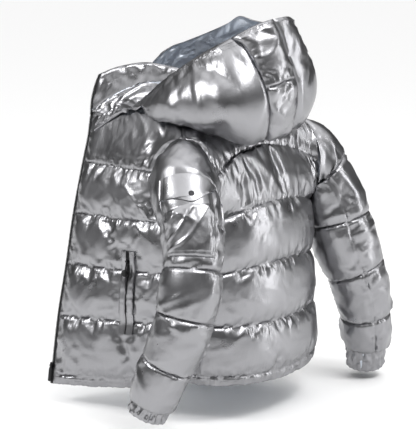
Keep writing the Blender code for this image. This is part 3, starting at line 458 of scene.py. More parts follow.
def back_piece():
    rows = body_rows()
    left, right = side_edge("left", 1), side_edge("right", 1) * (-1, 1, 1)
    places = np.linspace(-1, 1, BACK_COLUMNS + 1)
    grid = []
    for index, level in enumerate(rows):
        centre = np.array((0.0, through(LEVELS, BACK_CENTRE_Y, level), through(LEVELS, BACK_CENTRE_Z, level)))
        row = []
        for place in places:
            end = left[index] if place > 0 else right[index]
            over = math.sin(abs(place) * math.pi / 2)
            fullness = BACK_FULLNESS["left" if place > 0 else "right"]
            rest = max(0.0, math.cos(place * math.pi / 2))
            y = end[1] + (centre[1] - end[1]) * rest**fullness
            row.append((end[0] * over, y, end[2] + (centre[2] - end[2]) * rest**BACK_RISE))
        grid.append(row)
    piece = Piece("back", np.array(grid), (0, 1, 0))
    widths = piece.widths()
    piece.fill(*body_thickness(rows, np.outer(widths, (1 - np.abs(places)) / 2)))
    return piece


# ---------------------------------------------------------------- sleeves and cuffs


def armhole_ring(side):
    """The armhole's points from its top, down the front and up the back."""
    rows = body_rows()
    inside = (rows >= SHOULDER_LEVEL - 1e-9) & (rows <= UNDERARM_LEVEL + 1e-9)
    front, back = side_edge(side, -1)[inside], side_edge(side, 1)[inside]
    angles = [float(armhole_angle(level)) for level in rows[inside]]
    points = np.vstack([front, back[-2:0:-1]])
    return points, np.array(angles + [-a for a in angles[-2:0:-1]])


def arm_frame(side, distance):
    """Middle, radius, forward way, top way and front way of a sleeve at a distance along it."""
    table = SLEEVE_PATHS[side]
    knots = lengths(table[:, :3])
    place = through(knots, table, distance)
    ahead = through(knots, table[:, :3], min(distance + 0.01, knots[-1]))
    behind = through(knots, table[:, :3], max(distance - 0.01, 0.0))
    along = unit(ahead - behind)
    turn = min(1.0, distance / CAP_LENGTH)
    along = unit(mix(np.array(CAP_START), along, turn))
    front = np.array((0.0, -1.0, 0.0))
    front = unit(front - np.dot(front, along) * along)
    return place[:3], place[3], along, np.cross(front, along), front


def ring_at(side, distance, angles, radius=None):
    middle, own_radius, _, top, front = arm_frame(side, distance)
    size = own_radius if radius is None else radius
    return middle + (np.cos(angles)[:, None] * top + np.sin(angles)[:, None] * front) * size


def sleeve_rings(side):
    """Each ring's distance down the sleeve, and its place in channels."""
    stops = (0.0,) + SLEEVE_SEAMS[side]
    rings = [(0.0, 0.0), (CAP_FIRST, CAP_FIRST / stops[1])]
    for channel, steps in enumerate(SLEEVE_CHANNEL_STEPS[side]):
        for step in range(1, steps + 1):
            share = step / steps
            rings.append((mix(stops[channel], stops[channel + 1], share), channel + share))
    return np.array(rings).T


def sleeve_piece(side, body):
    hole, angles = armhole_ring(side)
    start = SLEEVE_PATHS[side][0, :3]
    distances, places = sleeve_rings(side)
    rings = []
    for distance in distances:
        moved = hole + arm_frame(side, distance)[0] - start
        rings.append(mix(moved, ring_at(side, distance, angles), smooth(min(1.0, distance / CAP_LENGTH))))
    under = (1 - np.cos(angles)) / 2
    fill = eased(distances[:, None], HEAD_REACH + ARMPIT_REACH * under[None], 1.5)
    seam = SEAM - ARMPIT_THINNING * under * (1 - eased(distances[:, None], ARMPIT_THIN_REACH))
    thick = seam + (PUFF_SLEEVE * crown(places))[:, None] * fill
    inside = np.array(rings)
    lower = np.zeros(inside.shape[:2], bool)
    lower[1:] = np.cos(angles) < 0.3
    inside = clear_of(inside, thick, body, lower, SLEEVE_REST, SLEEVE_LIFT_REACH, closed=True)
    piece = Piece("sleeve_" + side, inside, None, closed=True)
    spokes = unit(inside - inside.mean(axis=1, keepdims=True))
    near = np.clip(1 - distances / CAP_LENGTH, 0, 1)[:, None, None]
    piece.normal = unit(piece.normal + spokes * near)
    piece.normal[-1] = spokes[-1]
    piece.fill(seam, PUFF_SLEEVE * fill, places)
    return piece


def cuff_piece(side):
    start = SLEEVE_SEAMS[side][-1] + GAP * 1.5
    end = lengths(SLEEVE_PATHS[side][:, :3])[-1]
    count = CUFF_GATHERS * 3
    angles = np.arange(count) * 2 * math.pi / count
    gathers = np.cos(angles * CUFF_GATHERS)
    rings = []
    for step in range(CUFF_STEPS + 1):
        share = step / CUFF_STEPS
        distance = start + (end - start) * share
        depth = CUFF_GATHER_DEPTH * math.sin(math.pi * (0.25 + share / 2))
        radius = arm_frame(side, distance)[1] + depth * gathers
        rings.append(ring_at(side, distance, angles, radius[:, None]))
    piece = Piece("cuff_" + side, np.array(rings), None, closed=True)
    piece.normal = unit(piece.inside - piece.inside.mean(axis=1, keepdims=True))
    piece.fill(CUFF_WALL, 0.0, np.zeros(CUFF_STEPS + 1))
    return piece


# ---------------------------------------------------------------- collar and hood


def neckline(fronts, back):
    """Outer top edge of the three panels, from the left zip round the back to the right zip."""
    left, right = fronts["left"].outside()[0], fronts["right"].outside()[0]
    behind = back.outside()[0]
    points = np.vstack([left[::-1], behind[::-1][1:-1], right])
    quarters = (np.linspace(0, 0.25, len(left)), np.linspace(0.25, 0.75, len(behind))[1:-1])
    return np.concatenate([*quarters, np.linspace(0.75, 1.0, len(right))]), points


def outward_from_neck(points):
    """Level directions away from the neck, square to the neckline."""
    along = np.gradient(points, axis=0)
    out = unit(np.cross(along, (0, 0, 1)))
    return out if np.dot(out[0], (1, 0, 0)) > 0 else -out


def collar_piece(stations, line):
    foot = line + np.array((0, 0, GAP * 2))
    out = outward_from_neck(line)
    heights = through(COLLAR_STATIONS, COLLAR_HEIGHTS, stations)
    rows = []
    for step in range(COLLAR_STEPS + 1):
        share = step / COLLAR_STEPS
        end_lean = np.outer(np.clip(1 - stations / 0.2, 0, 1) ** 2, COLLAR_END_LEAN) * share**2
        rows.append(foot + np.outer(heights * share, (0, 0, 1)) + end_lean - out * COLLAR_LEAN * share)
    piece = Piece("collar", np.array(rows), (0, 1, 0))
    piece.normal = np.repeat(out[None], COLLAR_STEPS + 1, axis=0)
    shares = np.linspace(0, 1, COLLAR_STEPS + 1)
    ends = eased(stations, 0.1) * eased(1 - stations, 0.1)
    piece.fill(SEAM, PUFF_COLLAR * ends[None], np.clip((shares - COLLAR_PLAIN) / (1 - COLLAR_PLAIN), 0, 1))
    return piece


def hood_pieces(stations, line, panels):
    out = outward_from_neck(line)
    flat = np.clip(1 - stations / HOOD_FLAT, 0, 1)[:, None]
    foot = line + out * (SEAM + HOOD_FOOT_GAP + SEAM * flat) + np.array((0, 0, HOOD_FOOT_HEIGHT))
    foot_normal = unit(-out * flat - np.array((0, 0, 1)) * (1 - flat))
    shares = np.linspace(0, 1, HOOD_STEPS + 1)
    table = [np.array([row[k] for row in HOOD_SECTIONS]) / 1000 for k in (1, 2, 3)]
    section_places = [row[0] for row in HOOD_SECTIONS]
    pieces = []
    bend = (1 - shares)[:, None] ** HOOD_SEAM_BEND
    for (name, count, cross_seam), first, last in zip(HOOD_PANELS, HOOD_SEAMS, HOOD_SEAMS[1:]):
        steps = np.arange(count + 1)
        along_edge, along_neck = (np.linspace(a, b, count + 1) for a, b in zip(first, last))
        places = along_edge + (along_neck - along_edge) * bend
        grid = []
        for share, row in zip(shares, places):
            starts = read_line(row, stations, foot)
            low, wide, edge = (through(section_places, column, row) for column in table)
            points = []
            for knots in zip(starts, low, wide, edge):
                distance = lengths(np.array(knots))
                points.append(through(distance / distance[-1], knots, share))
            grid.append(points)
        inside = np.array(grid)
        channels = np.interp(shares, (0, cross_seam, 1), (0, 1, 2 if cross_seam < 1 else 1))
        puff = eased(steps, 1.5) * eased(count - steps, 1.5) * np.clip((places - HOOD_FLAT) / 0.1, 0, 1)
        thick = SEAM + PUFF_HOOD * crown(channels)[:, None] * puff
        chosen = np.zeros(inside.shape[:2], bool)
        chosen[1:] = True
        inside = clear_of(inside, thick, panels, chosen, HOOD_REST, HOOD_LIFT_REACH)
        piece = Piece(name, inside, inside - np.array(HOOD_HOLLOW))
        piece.fill(SEAM, PUFF_HOOD * puff, channels)
        piece.normal[0] = unit(read_line(places[0], stations, foot_normal))
        pieces.append(piece)
    return pieces


def read_line(places, stations, values):
    return np.stack([np.interp(places, stations, values[:, k]) for k in range(3)], axis=1)


# ---------------------------------------------------------------- zips, pockets and small pieces


def zip_tape(side, front, collar, end):
    """A strip along a front's edge and its collar's end. `end` is the collar's column there."""
    ahead = 1 if end == 0 else -2
    inside = np.vstack([collar.inside[::-1, end], front.inside[:, -1]])
    normal = np.vstack([collar.normal[::-1, end], front.normal[:, -1]])
    before = np.vstack([collar.inside[::-1, ahead], front.inside[:, -2]])
    away = inside - before
    away = unit(away - np.sum(away * normal, axis=1, keepdims=True) * normal)
    middle = inside + normal * (SEAM - TAPE_WALL) / 2
    grid = np.stack([middle + away * GAP, middle + away * (GAP + TAPE_WIDTH)], axis=1)
    piece = Piece("zip_tape_" + side, grid, normal[:, None])
    piece.normal = np.repeat(normal[:, None], 2, axis=1)
    piece.fill(TAPE_WALL, 0.0, np.zeros(len(grid)))
    return piece


def flap_places(columns):
    """How many rings below the patch's top each point of the flap lies."""
    reach = np.abs(np.arange(columns) - FLAP_MIDDLE) / ((columns - 1) / 2)
    ends = FLAP_SIDE + FLAP_POINT * np.clip(1 - reach, 0, 1)
    return np.vstack([ends * 0, np.minimum(1, ends * 0.85), ends])


# ---------------------------------------------------------------- fine grids and folds

CELL = 0.0055  # about how far apart a shell's points are
SMALL_CELL = 0.0035  # the same on pockets, cuffs and tapes
SEAM_RAISE, RAISE_REACH = 0.50, 0.014  # share of a channel's swell that its seams keep, ramped at the ends
GROOVE_DEPTH, GROOVE_HALF = 0.0024, 0.0035
CLOTH_FRAMES, CLOTH_QUALITY, CLOTH_PRESSURE = 16, 4, 3.5
CLOTH_SPARE = 0.045  # how much longer the cloth is than its seams
CLOTH_MASS, CLOTH_STIFF, CLOTH_BEND = 0.3, 18.0, 0.08  # kg a point, stretch and bending stiffness
PROUD, SUNK, ASIDE = 0.0050, 0.0050, 0.006  # how far the simulation may move a sheet
SUNK_SHARE, SUNK_LEAST = 0.6, 0.0004  # where the crown is low it may only sink a share of its height
FULL_SWELL = 0.008  # swell from which a channel takes folds in full
LEAST_SWELL = 0.0008  # below it the cloth is held
FLAT_SINK = 0.0012  # how low the cloth lies under what is sewn on it
NOISE_CELLS = 61  # in a noise's table, each way
RIDGE, CRUMPLE_RIDGE = 0.5, 0.4  # levels from which folded noise is taken away, to give ridges
PUCKER_REACH, PUCKER_DEPTH = 0.020, 0.0026
CRUMPLE_SIZE, CRUMPLE_DEPTH, CRUMPLE_START = 0.055, 0.0024, 0.02
FINE_CRUMPLE = 0.45  # height of the finer crumples as a share of the others
# Noise fields: size across and along the cloth, number of the field, and slant
PUCKER_FIELD, REACH_FIELD = (0.016, 0.045, 1), (0.05, 0.2, 2)
CRUMPLE_FIELD = (CRUMPLE_SIZE, CRUMPLE_SIZE * 1.3, 3, 0.7)
FINE_FIELD = (CRUMPLE_SIZE / 2, CRUMPLE_SIZE / 1.6, 4, -0.6)
LINING_FIELD = (0.07, 0.025, 7, 0.6)
SEAM_FIELD, SIDE_FIELD, SIDE_PATCHES = (0.012, 0.050, 51), (0.050, 0.013, 52), (0.5, 0.06, 53)
CREASE_FIELDS = (20, 30, 40)  # first numbers of the creases, of their bends and of their patches
BEND_SIZE, BEND_SHEAR, PATCH_SIZE = 0.11, 0.3, (0.09, 0.07)
PATCH_LEVEL, PATCH_GAIN = 0.65, 1.2  # how much of the cloth is creased, and how sharply patches end
CUFF_FIELDS = ((0.008, 0.040, 1), (0.006, 0.010, 2))
SWING = 0.06  # how far slanted folds swing up and down round a closed piece
CREASES = (  # size across and along, slant, height and share of the cloth
    (0.040, 0.110, 0.9, 0.0018, 0.38),
    (0.040, 0.100, -0.9, 0.0018, 0.38),
    (0.070, 0.180, 0.4, 0.0026, 0.28),
    (0.024, 0.060, -0.5, 0.0009, 0.45),
)
CREASE_POWER = 1.5  # higher makes them sharper
# How much each kind of piece is creased
CREASING = {"hood": 1.7, "collar": 1.5, "sleeve": 1.7, "pocket": 0.3, "back": 0.7, "front": 0.9}
SEAM_PUCKER, SIDE_PUCKER, SEAM_REACH = 0.0016, 0.0022, 0.013
SEAM_EDGE = 0.003  # nearer a seam than this the folds fade out
SIDE_GROOVE = 0.0016  # along the hood's long seams
SLEEVE_SEAM, SLEEVE_GROOVE = 12, 0.0030  # the column of a sleeve's long seam


def spread(grid, times, axis, closed=False):
    """The grid with `times` steps in place of each, along an axis, on a smooth curve."""
    grid = np.moveaxis(grid, axis, 0)
    count = len(grid)
    if closed:
        grid = np.concatenate([grid[-2:], grid, grid[:3]])
        at = np.arange(count * times) / times + 2
    else:
        at = np.linspace(0, count - 1, (count - 1) * times + 1)
    values = through(np.arange(len(grid)), grid.reshape(len(grid), -1), at)
    return np.moveaxis(values.reshape((len(at),) + grid.shape[1:]), 0, axis)


def noise(u, v, size_u, size_v, seed, around=None):
    """Smooth noise from -1 to 1 over places in metres; `around` is a closed grid's girth."""
    table = np.random.default_rng(seed).uniform(-1, 1, (NOISE_CELLS, NOISE_CELLS))
    cells = NOISE_CELLS if around is None else min(NOISE_CELLS, max(3, round(around / size_u)))
    x = u / (size_u if around is None else around / cells)
    y = v / size_v
    i, j = np.floor(x).astype(int), np.floor(y).astype(int)
    f, g = smooth(x - i), smooth(y - j)
    value = 0.0
    for a, share_a in ((0, 1 - f), (1, f)):
        for b, share_b in ((0, 1 - g), (1, g)):
            value = value + table[(i + a) % cells, (j + b) % NOISE_CELLS] * share_a * share_b
    return value


class Shell:
    """A piece drawn finely, with what its folds and its sewing need."""

    def __init__(self, piece, seed, cell):
        self.name, self.closed, self.seed = piece.name, piece.closed, seed
        step_v, step_u = (spans(piece.inside, axis).mean() for axis in (0, 1))
        self.times = max(1, round(step_v / cell)), max(1, round(step_u / cell))

        def fine(grid):
            return spread(spread(grid, self.times[0], 0), self.times[1], 1, piece.closed)

        self.inside, self.normal = fine(piece.inside), unit(fine(piece.normal))
        self.seam, self.swell = (fine(part[..., None])[..., 0] for part in (piece.seam, piece.swell))
        self.swell = np.maximum(self.swell, 0)
        last = len(piece.places) - 1
        fine_rows = np.linspace(0, last, last * self.times[0] + 1)
        self.places = np.interp(fine_rows, np.arange(last + 1), piece.places)
        rows, columns = self.swell.shape
        v = np.concatenate([[0], np.cumsum(spans(self.inside).mean(axis=1))])
        self.u, self.v = np.meshgrid(np.arange(columns) * step_u / self.times[1], v)
        self.around = columns * step_u / self.times[1] if piece.closed else None
        whole = [int(np.argmin(np.abs(self.places - k))) for k in range(int(self.places[-1] + 0.01) + 1)]
        self.seam_rows = sorted(set(whole)) if self.places[-1] > 0.5 else [0, rows - 1]
        self.from_seam = np.min([np.abs(self.v - v[row]) for row in self.seam_rows], axis=0)
        self.from_side = np.minimum(self.u, self.u[0, -1] - self.u)
        self.flat = np.zeros((rows, columns), bool)
        self.folds = np.zeros((rows, columns))
        self.creasing = CREASING.get(self.name.split("_")[0], 1.0)
        self.long_seam = None
        self.form()

    def form(self):
        """The outer sheet's heights: crowns between raised seams, each seam in a groove."""
        rows, v = len(self.v), self.v[:, 0]
        from_end = np.minimum(v, v[-1] - v)[:, None]
        kept = SEAM_RAISE * eased(from_end, RAISE_REACH)
        profile = kept + (1 - kept) * crown(self.places)[:, None]
        inner = [row for row in self.seam_rows if 0 < row < rows - 1]
        groove = sum((bell(self.v - v[row], GROOVE_HALF) for row in inner), np.zeros_like(self.v))
        groove = GROOVE_DEPTH * groove * np.clip(self.swell * kept / GROOVE_DEPTH, 0, 1)
        self.height = self.seam + self.swell * profile - groove
        if self.name.startswith("hood"):
            self.height = self.height - SIDE_GROOVE * bell(self.from_side, GROOVE_HALF)
        if self.name.startswith("sleeve") and self.closed:
            self.long_seam = SLEEVE_SEAM * self.times[1]
            aside = np.abs(self.u - self.u[0, self.long_seam])
            self.from_side = np.minimum(aside, self.around - aside)
            groove = SLEEVE_GROOVE * bell(self.from_side, GROOVE_HALF)
            self.height = self.height - groove * np.clip(self.swell / SLEEVE_GROOVE, 0, 1)
        self.shape()

    def shape(self):
        self.outer = self.inside + self.normal * self.height[..., None]

    def flatten(self, mask):
        """Keeps a region plain and a little low, for what lies on it."""
        self.flat |= mask
        soft = mask.astype(float)[..., None]
        for _ in range(3):
            soft = softened(soft, self.closed)
        self.height = self.height - FLAT_SINK * soft[..., 0]
        self.shape()

    def noise(self, size_u, size_v, field, shear=0.0):
        """Noise over the cloth; `shear` slants it, or swings it on a closed piece."""
        seed = self.seed * 10 + field
        if self.around is None:
            return noise(self.u + shear * self.v, self.v, size_u, size_v, seed)
        swing = SWING * shear * np.sin(2 * math.pi * self.u / self.around)
        return noise(self.u, self.v + swing + 0.2, size_u, size_v, seed, self.around)

    def full(self):
        """1 where a channel is well filled, less near its ends."""
        return np.clip(self.swell / FULL_SWELL, 0, 1)

    def near_seam(self):
        return (np.exp(-self.from_seam / NEAR_SEAM) * self.full() * ~self.flat).ravel()

    def seam_foot(self):
        """The point of the nearest seam beside each point."""
        rows = np.array(self.seam_rows)
        nearest = rows[np.argmin(np.abs(self.v[:, :1] - self.v[rows, 0][None]), axis=1)]
        return (self.inside[nearest] + FOOT_SHARE * (self.inside - self.inside[nearest])).reshape(-1, 3)

    def crumpled(self):
        """Small heights that start the folds: puckers at the seams and crumples between them."""
        ridge = RIDGE - np.abs(self.noise(*PUCKER_FIELD))
        reach = PUCKER_REACH * (1 + 0.8 * self.noise(*REACH_FIELD))
        at_seam = PUCKER_DEPTH * ridge * np.exp(-self.from_seam / reach)
        at_seam = at_seam * (1 - np.exp(-self.from_seam / SEAM_EDGE))
        crease, fine = (CRUMPLE_RIDGE - np.abs(self.noise(*field)) for field in (CRUMPLE_FIELD, FINE_FIELD))
        between = np.clip(self.from_seam / CRUMPLE_START, 0, 1)
        middle = CRUMPLE_DEPTH * (crease + FINE_CRUMPLE * fine) * between
        fill = self.full() * ~self.flat
        return (at_seam + middle) * fill

    def creased(self):
        """Sharp folds across the cloth, most from the seams, on top of the simulated form."""
        folds = 0.0
        for number, (size_u, size_v, shear, depth, share) in enumerate(CREASES):
            if self.closed:
                size_u, size_v = size_v, size_u
            fold, bend, patch = (first + number for first in CREASE_FIELDS)
            bend = shear + BEND_SHEAR * self.noise(BEND_SIZE, BEND_SIZE, bend)
            bent = self.noise(size_u, size_v, fold, bend)
            ridge = np.clip(1 - np.abs(bent) / share, 0, 1) ** CREASE_POWER
            patch = np.clip(PATCH_LEVEL + PATCH_GAIN * self.noise(*PATCH_SIZE, patch), 0, 1)
            folds = folds + depth * ridge * patch
        fill = ~self.flat
        folds = folds * fill * self.creasing
        pucker = RIDGE - np.abs(self.noise(*SEAM_FIELD))
        folds = folds + SEAM_PUCKER * pucker * np.exp(-self.from_seam / SEAM_REACH) * fill
        pucker = (RIDGE - np.abs(self.noise(*SIDE_FIELD))) * np.clip(0.6 + self.noise(*SIDE_PATCHES), 0, 1)
        folds = folds + SIDE_PUCKER * pucker * np.exp(-self.from_side / SEAM_REACH) * fill
        return folds * np.clip(self.from_seam / SEAM_EDGE, 0, 1) * np.clip(self.from_side / SEAM_EDGE, 0, 1)

    def settle(self, moved):
        """Takes the simulated sheet, kept near the CAD's surface."""
        offset = moved - self.outer
        square = np.sum(offset * self.normal, axis=2)
        aside = offset - square[..., None] * self.normal
        low = -np.minimum(SUNK_SHARE * (self.height - self.seam) + SUNK_LEAST, SUNK)
        high = PROUD * self.full()
        middle, half = (high + low) / 2, (high - low) / 2 + 1e-6
        square = middle + half * np.tanh((square - middle) / half)
        reach = np.linalg.norm(aside, axis=2, keepdims=True)
        aside = aside * np.minimum(1, ASIDE / np.maximum(reach, 1e-9))
        self.outer = self.outer + square[..., None] * self.normal + aside

    def crease(self):
        self.folds = self.creased()
        self.outer = self.outer + self.normal * self.folds[..., None]

    def held(self):
        mask = self.flat.copy()
        mask[self.seam_rows] = True
        mask[0] = mask[-1] = True
        if not self.closed:
            mask[:, 0] = mask[:, -1] = True
        if self.long_seam:
            mask[:, self.long_seam] = True
        return mask | (self.swell < LEAST_SWELL)

    def quads(self, flip=False):
        rows, columns = self.height.shape
        index = np.arange(rows * columns).reshape(rows, columns)
        if self.closed:
            index = np.hstack([index, index[:, :1]])
        corners = (index[:-1, :-1], index[:-1, 1:], index[1:, 1:], index[1:, :-1])
        faces = np.stack(corners, axis=-1).reshape(-1, 4)
        return faces[:, ::-1] if flip else faces

    def faces_out(self):
        """True where quads() in their own order face outwards."""
        across, down = np.gradient(self.inside, axis=1), np.gradient(self.inside, axis=0)
        return np.sum(np.cross(across, down) * self.normal) > 0


def simulate(shells):
    """Swells the shells' outer sheets as cloth that is a little longer than its seams."""
    starts = [(shell.outer + shell.normal * shell.crumpled()[..., None]).reshape(-1, 3) for shell in shells]
    counts = np.cumsum([0] + [len(start) for start in starts])
    faces = np.vstack([shell.quads(not shell.faces_out()) + count for shell, count in zip(shells, counts)])
    held = np.concatenate([shell.held().ravel() for shell in shells])
    mesh = bpy.data.meshes.new("cloth_work")
    mesh.from_pydata(np.vstack(starts).tolist(), [], faces.tolist())
    work = bpy.data.objects.new("cloth_work", mesh)
    bpy.context.scene.collection.objects.link(work)
    work.vertex_groups.new(name="held").add(np.nonzero(held)[0].tolist(), 1.0, "REPLACE")
    cloth = work.modifiers.new("cloth", "CLOTH")
    settings = cloth.settings
    settings.quality, settings.mass, settings.air_damping = CLOTH_QUALITY, CLOTH_MASS, 1.0
    settings.tension_stiffness = settings.compression_stiffness = CLOTH_STIFF
    settings.shear_stiffness, settings.bending_stiffness = CLOTH_STIFF / 4, CLOTH_BEND
    settings.use_pressure, settings.uniform_pressure_force = True, CLOTH_PRESSURE
    settings.effector_weights.gravity = 0
    settings.shrink_min = settings.shrink_max = -CLOTH_SPARE
    settings.vertex_group_mass, settings.pin_stiffness = "held", 1.0
    cloth.collision_settings.use_collision = False
    cloth.point_cache.frame_start, cloth.point_cache.frame_end = 1, CLOTH_FRAMES
    scene = bpy.context.scene
    for number in range(1, CLOTH_FRAMES + 1):
        scene.frame_set(number)
    shape = work.evaluated_get(bpy.context.evaluated_depsgraph_get()).to_mesh()
    moved = np.empty(counts[-1] * 3)
    shape.vertices.foreach_get("co", moved)
    scene.frame_set(1)
    bpy.data.objects.remove(work, do_unlink=True)
    bpy.data.meshes.remove(mesh)
    for shell, part in zip(shells, np.split(moved.reshape(-1, 3), counts[1:-1])):
        shell.settle(part.reshape(shell.outer.shape))


# ---------------------------------------------------------------- objects

INSIDE_WRINKLE, INSIDE_FOLLOWS = 0.0018, 0.8  # the lining's wrinkles, and its share of the outer folds
NEAR_SEAM, FOOT_SHARE = 0.016, 0.25  # reach of the finish's fine puckers, and how they change off the seam
STITCH_PITCH, STITCH_LENGTH, STITCH_RADIUS = 0.0040, 0.0030, 0.00045
STITCH_LIFT, HOOD_STITCH_LIFT = 0.0003, 0.0005
TOOTH_PITCH, TOOTH_HALF, TOOTH_OUT = 0.0030, (0.0013, 0.0007, 0.0014), 0.0008  # half: across, along, through
TOOTH_LENGTH, TOOTH_TAPER = 1.15, 0.25  # of a tooth along the zip: longer at its root
COIL_PITCH, COIL_HALF, COIL_LIFT = 0.0022, (0.0013, 0.0006, 0.0008), 0.0006
COIL_STRIP, COIL_WALL = 0.0030, 0.0012  # half width and wall of the tape under a pocket's coil
HOOD_HEM_ROW, HOOD_HEM_SINK, HOOD_HEM_LEAST = 3, 0.002, 0.0022  # from the opening edge; sink, least wall
CUFF_RUFFLE = 0.0052  # height of its gathers
SEWN_ROWS, SEWN_COLUMNS = (-2, -4), (1, 3, -2, -4)  # double topstitching of patch and flap
CREASE_ANGLE = math.radians(75)  # edges sharper than this are drawn sharp
UNDER_FLAP, PATCH_FLAT = 2.1, 1.9  # rings of the patch that take no folds, and that are not puffed
WELT_CROWN = (0.15, 0.85)  # places of a welt's ends on its crown
PRESSED = 0.0012  # how far topstitching sinks in patch and flap
PATCH_PUFF, FLAP_PUFF, WELT_PUFF = 0.0042, 0.0006, 0.0010
FLAP_LIFT = 0.0030  # of its lower edge, clear of the patch's crown
WELT_CLOSE, SLIDER_ROWS = 0.0026, 2  # how far a welt's free edge comes in over the zip, and where it starts
POCKET_PLAIN, POCKET_MARGIN = 0.024, 0.08  # half width, and share of a channel past its ends, kept plain
PATCH_MARGIN = 0.2  # rings and columns round the patch that are kept plain
PATCHES = ("sleeve_pocket", "sleeve_flap")
SMALL = ("pocket", *PATCHES, "cuff", "zip_tape")  # how the names of the finer pieces begin


def add_object(name, points, faces, material):
    mesh = bpy.data.meshes.new(name)
    mesh.from_pydata(np.asarray(points).tolist(), [], [list(map(int, face)) for face in faces])
    mesh.materials.append(material)
    mesh.shade_smooth()
    obj = bpy.data.objects.new(name, mesh)
    bpy.context.scene.collection.objects.link(obj)
    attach(obj, "jacket")
    return obj


def closed_shell(shell, material, lining):
    """Joins a shell's outer and inner sheets into one closed form that stands for its CAD solid."""
    wrinkle = INSIDE_WRINKLE * shell.creasing * (0.3 - np.abs(shell.noise(*LINING_FIELD)))
    inside = shell.inside + shell.normal * (wrinkle + INSIDE_FOLLOWS * shell.folds)[..., None]
    rows, columns = shell.height.shape
    count, outward = rows * columns, shell.faces_out()
    outer, inner = shell.quads(not outward), shell.quads(outward) + count
    index = np.arange(count).reshape(rows, columns)
    rims = [(index[0], False), (index[-1], True)]
    if shell.closed:
        rims = [(np.append(rim, rim[0]), turned) for rim, turned in rims]
    else:
        rims += [(index[:, 0], True), (index[:, -1], False)]
    sides = []
    for rim, turned in rims:
        quad = np.stack([rim[1:], rim[:-1], rim[:-1] + count, rim[1:] + count], axis=1)
        sides.append(quad[:, ::-1] if turned == outward else quad)
    faces = np.vstack([outer, inner, *sides])
    points = np.vstack([shell.outer.reshape(-1, 3), inside.reshape(-1, 3)])
    obj = add_object("cloth_" + shell.name, points, faces, material)
    obj.data.materials.append(lining)
    numbers = np.zeros(len(faces), np.int32)
    numbers[len(outer) : len(outer) + len(inner)] = 1
    obj.data.polygons.foreach_set("material_index", numbers)
    obj.data.set_sharp_from_angle(angle=CREASE_ANGLE)
    near, foot = np.concatenate([shell.near_seam(), np.zeros(count)]), np.tile(shell.seam_foot(), (2, 1))
    for label, kind, key, values in (
        ("near_seam", "FLOAT", "value", near),
        ("seam_foot", "FLOAT_VECTOR", "vector", foot.ravel()),
    ):
        obj.data.attributes.new(label, kind, "POINT").data.foreach_set(key, values.astype(np.float32))
    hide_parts(shell.name)
    return obj


def evenly(path, normals, pitch):
    """Places along a line at a pitch: middles, ways along it and normals."""
    along = lengths(path)
    count = max(1, int(along[-1] / pitch))
    at = (np.arange(count) + 0.5) * along[-1] / count
    middles, ahead = read_line(at, along, path), read_line(at + pitch / 4, along, path)
    behind = read_line(at - pitch / 4, along, path)
    return middles, unit(ahead - behind), unit(read_line(at, along, normals))


def stitches(name, lines, material):
    """Short threads along lines, each a pair of points and normals."""
    points, faces = [], []
    corners = ((0, 1, 2), (0, 2, 3), (0, 3, 4), (0, 4, 1), (5, 2, 1), (5, 3, 2), (5, 4, 3), (5, 1, 4))
    for path, normals in lines:
        for middle, along, normal in zip(*evenly(path, normals, STITCH_PITCH)):
            side = np.cross(along, normal)
            start = len(points)
            points += [middle - along * STITCH_LENGTH / 2 - normal * STITCH_RADIUS]
            points += [middle + way * STITCH_RADIUS for way in (normal, side, -normal, -side)]
            points += [middle + along * STITCH_LENGTH / 2 - normal * STITCH_RADIUS]
            faces += [[start + k for k in corner] for corner in corners]
    return add_object("stitches_" + name, points, faces, material)


def teeth(name, path, aside, normals, pitch, half, material):
    """Small blocks along a line; `aside` gives each point's way across the tape."""
    middles, along, normal = evenly(path, normals, pitch)
    steps = lengths(path)
    across = unit(read_line(np.linspace(0, steps[-1], len(middles)), steps, aside))
    points, faces = [], []
    for middle, a, n, s in zip(middles, along, normal, across):
        start = len(points)
        for i in (-1, 1):
            length = TOOTH_LENGTH - TOOTH_TAPER * i
            for j in (-1, 1):
                for k in (-1, 1):
                    points.append(middle + s * half[0] * i + a * half[1] * j * length + n * half[2] * k)
        for quad in ((0, 1, 3, 2), (4, 6, 7, 5), (0, 4, 5, 1), (2, 3, 7, 6), (0, 2, 6, 4), (1, 5, 7, 3)):
            faces.append([start + k for k in quad])
    obj = add_object(name, points, faces, material)
    obj.data.shade_flat()
    return obj


def row_line(shell, row, lift=STITCH_LIFT):
    """A line and its normals just over one row of a shell."""
    path, normals = shell.outer[row], shell.normal[row]
    if shell.closed:
        path, normals = np.vstack([path, path[:1]]), np.vstack([normals, normals[:1]])
    return path + normals * lift, normals


def column_line(shell, column, lift=STITCH_LIFT):
    return shell.outer[:, column] + shell.normal[:, column] * lift, shell.normal[:, column]


def along_row(values, column):
    low = int(column)
    return values[low] * (1 - column + low) + values[low + 1] * (column - low)


def at_places(lines, places):
    """Values between each line's own points; `places` lists for each line where."""
    return np.array([[along_row(line, place) for place in row] for line, row in zip(lines, places)])


